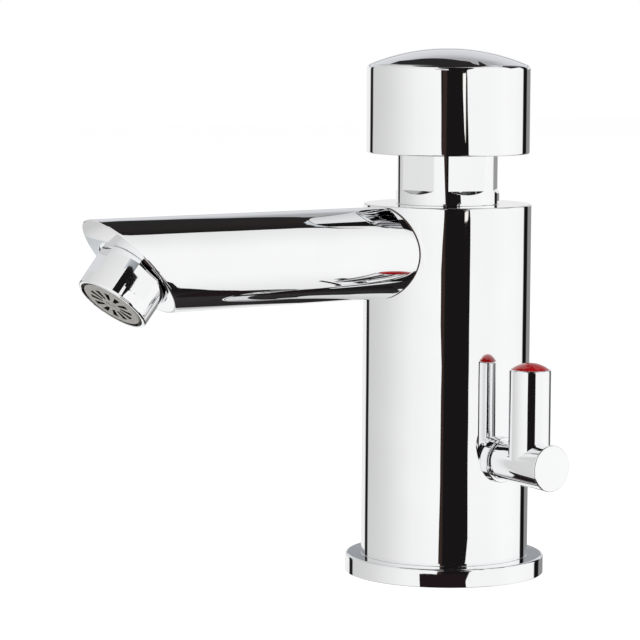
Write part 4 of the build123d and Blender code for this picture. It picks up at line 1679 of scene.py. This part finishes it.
@dataclass
class Studio:
    """Camera, floor, lamps and the surroundings that the chrome mirrors."""

    azimuth: float = 52.366
    elevation: float = 5.786
    roll: float = 0.347
    distance: float = 900.8
    focal_pixels: float = 3015.1
    image_pixels: float = 640.0
    sensor: float = 36.0
    aim_height: float = 80.0
    aim_shift: Pair = (-37.705, -4.667)
    floor_size: float = 6.0
    floor_colour: float = 0.25
    floor_glow: float = 0.80
    diffuse_light: float = 0.75
    front_distance: float = 220.0
    bounce_distance: float = 100.0
    back_distance: float = 170.0
    under_depth: float = -60.0
    foot_depth: float = -0.3
    patch_lift: float = 0.4
    # Patches of the mirrored room: where each fades in, in degrees, by its turn from the camera's
    # side and by its rise. The third number of a window is the width of its edges.
    steep_rise: Pair = (18.0, 75.0)
    steep_shade: float = 0.885
    lofty_turn: Pair = (-130.0, -134.0)
    lofty_rise: Pair = (11.0, 14.0)
    lofty_shade: float = 0.84
    wall_turn: Pair = (143.0, 147.0)
    wall_rise: Pair = (0.5, 2.0)
    ceiling_rise: Pair = (60.0, 66.0)
    pit_turn: Triple = (-29.0, 27.0, 2.0)
    pit_rise: Pair = (-36.0, -40.0)
    dark_shade: Colour = (0.15, 0.14, 0.14)
    below_turn: Pair = (-100.0, -130.0)
    below_rise: Triple = (-70.0, -20.0, 8.0)
    below_shade: float = 0.82
    horizon: Sequence[Pair] = (
        (-180.0, 0.95), (-147.0, 0.95), (-144.5, 0.10), (-136.0, 0.10), (-133.5, 0.82),
        (-126.0, 0.82), (-108.0, 0.84), (-90.0, 0.87), (-72.0, 0.915), (-48.0, 0.965),
        (-18.0, 0.985), (0.0, 0.985), (30.0, 0.98), (60.0, 0.98), (84.0, 0.995), (105.0, 0.99),
        (126.5, 0.97), (128.5, 0.07), (141.0, 0.08), (144.0, 0.56), (160.0, 0.56), (170.0, 0.64),
        (176.0, 0.95), (180.0, 0.95),
    )
    back_wall: Sequence[tuple[float, Colour]] = (
        (0.0, (0.93, 0.93, 0.93)), (0.09, (0.93, 0.93, 0.93)), (0.11, (0.60, 0.61, 0.63)),
        (0.125, (0.60, 0.61, 0.63)), (0.145, (0.90, 0.90, 0.915)), (0.20, (0.855, 0.86, 0.875)),
        (0.30, (0.82, 0.825, 0.84)), (0.37, (0.72, 0.72, 0.735)), (0.39, (0.66, 0.66, 0.67)),
    )
    lamp_boxes: Sequence[tuple[str, Colour, float, float]] = (
        ("key_box", (-0.7, -0.9, 1.1), 0.9, 9.0),
        ("fill_box", (1.2, -0.3, 0.8), 0.9, 6.0),
        ("top_box", (0.0, 0.2, 1.5), 1.2, 8.0),
    )

    def directions(self) -> tuple[Vector, Vector, Vector]:
        """Gives the camera's right, up and backward directions.

        Returns:
            The three directions, each of length one.
        """
        turn, lift = math.radians(self.azimuth), math.radians(self.elevation)
        flat = math.cos(lift)
        right = Vector((math.cos(turn), math.sin(turn), 0.0))
        back = Vector((math.sin(turn) * flat, -math.cos(turn) * flat, math.sin(lift)))
        return right, back.cross(right), back

    def toward(self) -> Vector:
        """Gives the level direction from the tap towards the camera."""
        turn = math.radians(self.azimuth)
        return Vector((math.sin(turn), -math.cos(turn), 0.0))

    def camera(self) -> None:
        """Places the camera where the photograph was taken from."""
        right, up, back = self.directions()
        roll = math.radians(self.roll)
        side = right * math.cos(roll) + up * math.sin(roll)
        top = up * math.cos(roll) - right * math.sin(roll)
        aim = UP * self.aim_height + right * self.aim_shift[0] + up * self.aim_shift[1]
        lens = bpy.data.cameras.new("camera")
        lens.sensor_width = self.sensor
        lens.lens = self.focal_pixels / self.image_pixels * self.sensor
        lens.clip_start, lens.clip_end = 0.01, 50.0
        made = new_object("camera", lens)
        turn = Matrix((side, top, back)).transposed().to_4x4()
        made.matrix_world = Matrix.Translation((aim + back * self.distance) * MM) @ turn
        bpy.context.scene.camera = made

    def mirrored_room(self, bench: NodeBench) -> bpy.types.NodeSocket:
        """Builds the room that mirrors show, by direction in degrees from the camera's side.

        Args:
            bench: The world's nodes.

        Returns:
            The room's colour in each direction.
        """
        where = bench.add("ShaderNodeTexCoord").outputs["Generated"]
        sideways, ahead, rise = (
            bench.dot(where, axis) for axis in (self.directions()[0], self.toward(), UP)
        )
        degrees = 180 / math.pi
        azimuth = bench.math("MULTIPLY", bench.math("ARCTAN2", sideways, ahead), degrees)
        elevation = bench.math("MULTIPLY", bench.math("ARCSINE", rise), degrees)
        around = bench.math("MULTIPLY_ADD", azimuth, 1 / 360, 0.5)
        walls = [((angle + 180) / 360, grey(shade)) for angle, shade in self.horizon]
        wall = [(place, tone(*shade)) for place, shade in self.back_wall]
        steep = bench.step(bench.math("ABSOLUTE", elevation), *self.steep_rise)
        aside = bench.step(azimuth, *self.lofty_turn)
        lofty = bench.math("MULTIPLY", aside, bench.step(elevation, *self.lofty_rise))
        behind = bench.step(bench.math("ABSOLUTE", azimuth), *self.wall_turn)
        above = bench.math("MULTIPLY", behind, bench.step(elevation, *self.wall_rise))
        near_side = bench.window(azimuth, *self.pit_turn)
        pit = bench.math("MULTIPLY", near_side, bench.step(elevation, *self.pit_rise))
        dark = bench.math("MAXIMUM", bench.step(elevation, *self.ceiling_rise), pit)
        beside = bench.step(azimuth, *self.below_turn)
        below = bench.math("MULTIPLY", bench.window(elevation, *self.below_rise), beside)
        colour = bench.ramp(around, walls)
        for mask, shade in (
            (steep, grey(self.steep_shade)),
            (lofty, grey(self.lofty_shade)),
            (above, bench.ramp(bench.math("DIVIDE", elevation, 90.0), wall)),
            (dark, tone(*self.dark_shade)),
            (below, grey(self.below_shade)),
        ):
            colour = bench.mix(mask, colour, shade)
        return colour

    def surroundings(self) -> None:
        """Builds the world: white for the camera, even for diffuse light, a room for mirrors."""
        world = bpy.data.worlds.new("studio")
        world.use_nodes = True
        bpy.context.scene.world = world
        world.node_tree.nodes.clear()
        bench = NodeBench(world.node_tree)
        room = self.mirrored_room(bench)
        rays = bench.add("ShaderNodeLightPath").outputs
        mirrored = bench.math("MAXIMUM", rays["Is Glossy Ray"], rays["Is Transmission Ray"])
        seen = bench.mix(mirrored, (self.diffuse_light,) * 3, room)
        seen = bench.mix(rays["Is Camera Ray"], seen, (1.0, 1.0, 1.0))
        shader = bench.add("ShaderNodeBackground")
        shader.inputs["Strength"].default_value = 1.0
        bench.feed(shader.inputs["Color"], seen)
        bench.end("ShaderNodeOutputWorld", shader.outputs[0])

    def floor(self) -> None:
        """Lays the pale floor, which keeps a faint shadow of the tap."""
        half = self.floor_size / 2
        corners = [(-half, -half, 0), (half, -half, 0), (half, half, 0), (-half, half, 0)]
        mesh = bpy.data.meshes.new("floor")
        mesh.from_pydata(corners, [], [(0, 1, 2, 3)])
        made = new_object("floor", mesh)
        paper, bench = empty_material("pale_paper")
        matte = bench.add("ShaderNodeBsdfDiffuse")
        matte.inputs["Color"].default_value = (*(self.floor_colour,) * 3, 1.0)
        glow = bench.add("ShaderNodeEmission")
        glow.inputs["Color"].default_value = (1.0, 1.0, 1.0, 1.0)
        direct = bench.add("ShaderNodeLightPath").outputs["Is Camera Ray"]
        bench.feed(glow.inputs["Strength"], bench.math("MULTIPLY", direct, self.floor_glow))
        both = bench.add("ShaderNodeAddShader")
        bench.feed(both.inputs[0], matte.outputs[0])
        bench.feed(both.inputs[1], glow.outputs[0])
        bench.end("ShaderNodeOutputMaterial", both.outputs[0])
        mesh.materials.append(paper)
        made.visible_glossy = False

    def before(self, distance: float) -> Plane:
        """Gives the upright plane at a distance before the tap, square to the view."""
        return Plane(self.toward() * distance, self.directions()[0], UP)

    def front_cards(self) -> list[Card]:
        """Lists the boards beside the camera, which the column and the cap mirror.

        Returns:
            The boards.
        """
        near, board = self.before(self.front_distance - 1), self.before(self.front_distance)
        return [
            Card(
                "front_board",
                board,
                (
                    (-50, BLACK), (-44, (12, 9, 8)), (-39, (50, 40, 38)), (-22, (56, 43, 39)),
                    (-14, BLACK), (120, BLACK),
                ),
                (
                    (-39, -60), (-37, -30), (-31, 0), (-31, 30), (-29, 42), (-36, 56), (-37, 75),
                    (-29, 88), (-24, 97), (-43, 119), (-48, 145), (-50, 158), (-12, 158),
                    (60, 152), (86, 150), (92, 145), (97, 130), (105, 118), (108, 100),
                    (117, 92), (116, 60), (115, 0), (120, -25), (106, -33), (87, -37), (87, -60),
                ),
            ),
            Card(
                "gleam_strip",
                near,
                ((64, (200, 180, 160)), (69, WARM_WHITE), (79, WARM_WHITE), (86, (205, 196, 186))),
                (
                    (64, 147), (83, 147), (84, 133), (86, 121), (84, 120), (77, 124), (72, 131),
                    (66, 141),
                ),
            ),
            Card(
                "spark_patch",
                near,
                ((80, (220, 200, 190)), (85, WARM_WHITE), (97, WARM_WHITE), (103, (205, 190, 180))),
                ((80, 92.4), (100, 92.7), (103, 96.5), (80, 96.5)),
            ),
        ]

    def spout_cards(self) -> list[Card]:
        """Lists the boards behind and under the tap, which the spout mirrors.

        Returns:
            The boards.
        """
        back = Plane(TO_SPOUT * -self.back_distance, TO_LEVER, UP)
        near = Plane(TO_SPOUT * (1 - self.back_distance), TO_LEVER, UP)
        return [
            Card(
                "back_board",
                back,
                ((-350, (40, 41, 42)), (-60, (42, 38, 38)), (115, (24, 23, 24))),
                (
                    (-350, 365), (-350, 900), (66, 900), (58, 410), (67, 394), (83, 378),
                    (91, 366), (100, 338), (115, 225), (-5, 225), (-5, 336), (-138, 338),
                    (-134, 350), (-131, 362), (-142, 370), (-160, 365),
                ),
            ),
            Card(
                "lens_board",
                near,
                ((-106, (222, 226, 229)), (-30, (205, 210, 214)), (77, (192, 198, 202))),
                (
                    (-36, 406), (-70, 397), (-90, 385), (-103, 369), (-106, 337), (77, 337),
                    (72, 371), (58, 391), (40, 402), (0, 408),
                ),
            ),
            Card(
                "under_board",
                Plane(UP * self.under_depth, TO_LEVER, -TO_SPOUT),
                (
                    (-208, (36, 34, 35)), (-60, (44, 42, 42)), (20, (50, 48, 48)),
                    (90, (26, 24, 26)), (230, (30, 29, 30)),
                ),
                (
                    (-60, -125), (-55, -97), (-87, -60), (-87, 18), (-102, 37), (-115, 56),
                    (-149, 87), (-208, 136), (-208, 150), (0, 150), (21, 71), (42, 52), (53, 41),
                    (61, 30), (85, 23), (122, 24), (141, 31), (167, 41), (194, 53), (230, 60),
                    (230, -60), (140, -60), (135, -5), (100, -10), (97, -95), (60, -135),
                    (25, -180), (-5, -195), (-35, -150),
                ),
            ),
        ]

    def high_cards(self) -> list[Card]:
        """Lists the high boards, which the cap and its crown mirror, and the strip beside them.

        Returns:
            The boards.
        """
        return [
            Card(
                "tall_board",
                self.before(self.front_distance + 2),
                ((-100, BLACK), (200, BLACK)),
                (
                    (-10, 150), (-10, 235), (-45, 265), (-70, 330), (-100, 520), (200, 520),
                    (160, 330), (120, 250), (97, 200), (93, 150),
                ),
            ),
            Card(
                "horn_board",
                self.before(self.front_distance),
                ((-89, BLACK), (-12, BLACK)),
                (
                    (-89, 225), (-87.6, 229), (-82, 241.4), (-12.8, 186.6), (-16.1, 181.6),
                    (-30, 190.6), (-32.8, 186.3), (-35, 182), (-71, 207),
                ),
            ),
            Card(
                "fringe_board",
                self.before(self.front_distance + 1),
                (
                    (-104, (205, 212, 218)), (-80, (176, 180, 184)), (-30, (150, 155, 158)),
                    (-3, (60, 64, 66)),
                ),
                ((-104, 259), (-100.7, 268), (-3, 191), (-12.8, 186.6), (-82, 241.4)),
            ),
            Card(
                "bounce_board",
                self.before(self.bounce_distance),
                ((-80, WHITE), (-50, WHITE)),
                (
                    (-79, 99), (-75.2, 100), (-72.7, 99.2), (-67.4, 96.9), (-59.7, 93.1),
                    (-52, 90.2), (-50, 84), (-64, 89.5), (-76, 94.5), (-80, 97),
                ),
            ),
            Card(
                "flag_strip",
                Plane(
                    Vector((104.5, -84.06, 109.67)),
                    Vector((-0.1765, -0.832, 0.714)),
                    Vector((0.0333, -0.7104, -0.8542)),
                ),
                ((2.0, BLACK), (4.4, BLACK)),
                ((2.0, 3.6), (4.4, 3.0), (4.4, 9.0), (2.0, 9.0)),
            ),
        ]

    def low_cards(self) -> list[Card]:
        """Lists the board at the foot and the slanted ones, which the oblique face mirrors.

        Returns:
            The boards.
        """
        out = Vector((0.4492, -0.8486, 0.2795))
        along = Vector((0.8662, 0.337, -0.369))
        centre = Vector((-49.7, -112.7, 64.5))
        face = Plane(centre, along, out.cross(along))
        patch = Plane(centre + out * self.patch_lift, along, out.cross(along))
        return [
            Card(
                "foot_board",
                Plane(UP * self.foot_depth, self.directions()[0], self.toward()),
                ((-24, WARM_BLACK), (17, WARM_BLACK)),
                (
                    (-7.9, 28.4), (-20.3, 49.0), (-17.5, 51.5), (-12, 53.5), (0, 54.5), (10, 54),
                    (14.5, 51.5), (5.4, 29),
                ),
            ),
            Card(
                "face_board",
                face,
                (
                    (-34, (198, 199, 200)), (-19.5, (203, 203, 203)), (-15.6, (224, 224, 223)),
                    (-12, (233, 233, 232)), (-7, (240, 240, 239)), (-1.5, (247, 248, 248)),
                    (34, (251, 251, 251)),
                ),
                ((-34, -18), (34, -18), (34, 16), (-34, 16)),
                one_sided=True,
            ),
            Card(
                "shade_patch",
                patch,
                ((-26, (186, 191, 197)), (-14, (198, 202, 205)), (-6.5, (214, 218, 221))),
                (
                    (-26, 12), (-26, 0.3), (-16.6, -2.3), (-9, -4.5), (-7, -3), (-6.5, 0),
                    (-7, 12),
                ),
                one_sided=True,
            ),
        ]

    def lamps(self) -> None:
        """Hangs three soft boxes, which mirrors don't show."""
        for name, place, size, power in self.lamp_boxes:
            light = bpy.data.lights.new(name, "AREA")
            light.shape = "SQUARE"
            light.size = size
            light.energy = power
            made = new_object(name, light)
            aim = UP * self.aim_height * MM - Vector(place)
            made.rotation_euler = aim.to_track_quat("-Z", "Y").to_euler()
            made.location = place
            made.visible_glossy = False

    def build(self) -> None:
        """Sets up the studio."""
        bpy.context.scene.view_settings.view_transform = "Standard"
        self.camera()
        self.surroundings()
        self.floor()
        for card in (
            *self.front_cards(), *self.spout_cards(), *self.high_cards(), *self.low_cards()
        ):
            card.make()
        self.lamps()


def main() -> None:
    """Builds the studio and every part of the tap, in order."""
    Studio().build()
    Column().build()
    Spout().build()
    PushCap().build()
    Lever().build()
    Cartridge().build()
    LOG.info("all pieces are in place")


if __name__ == "__main__":
    main()
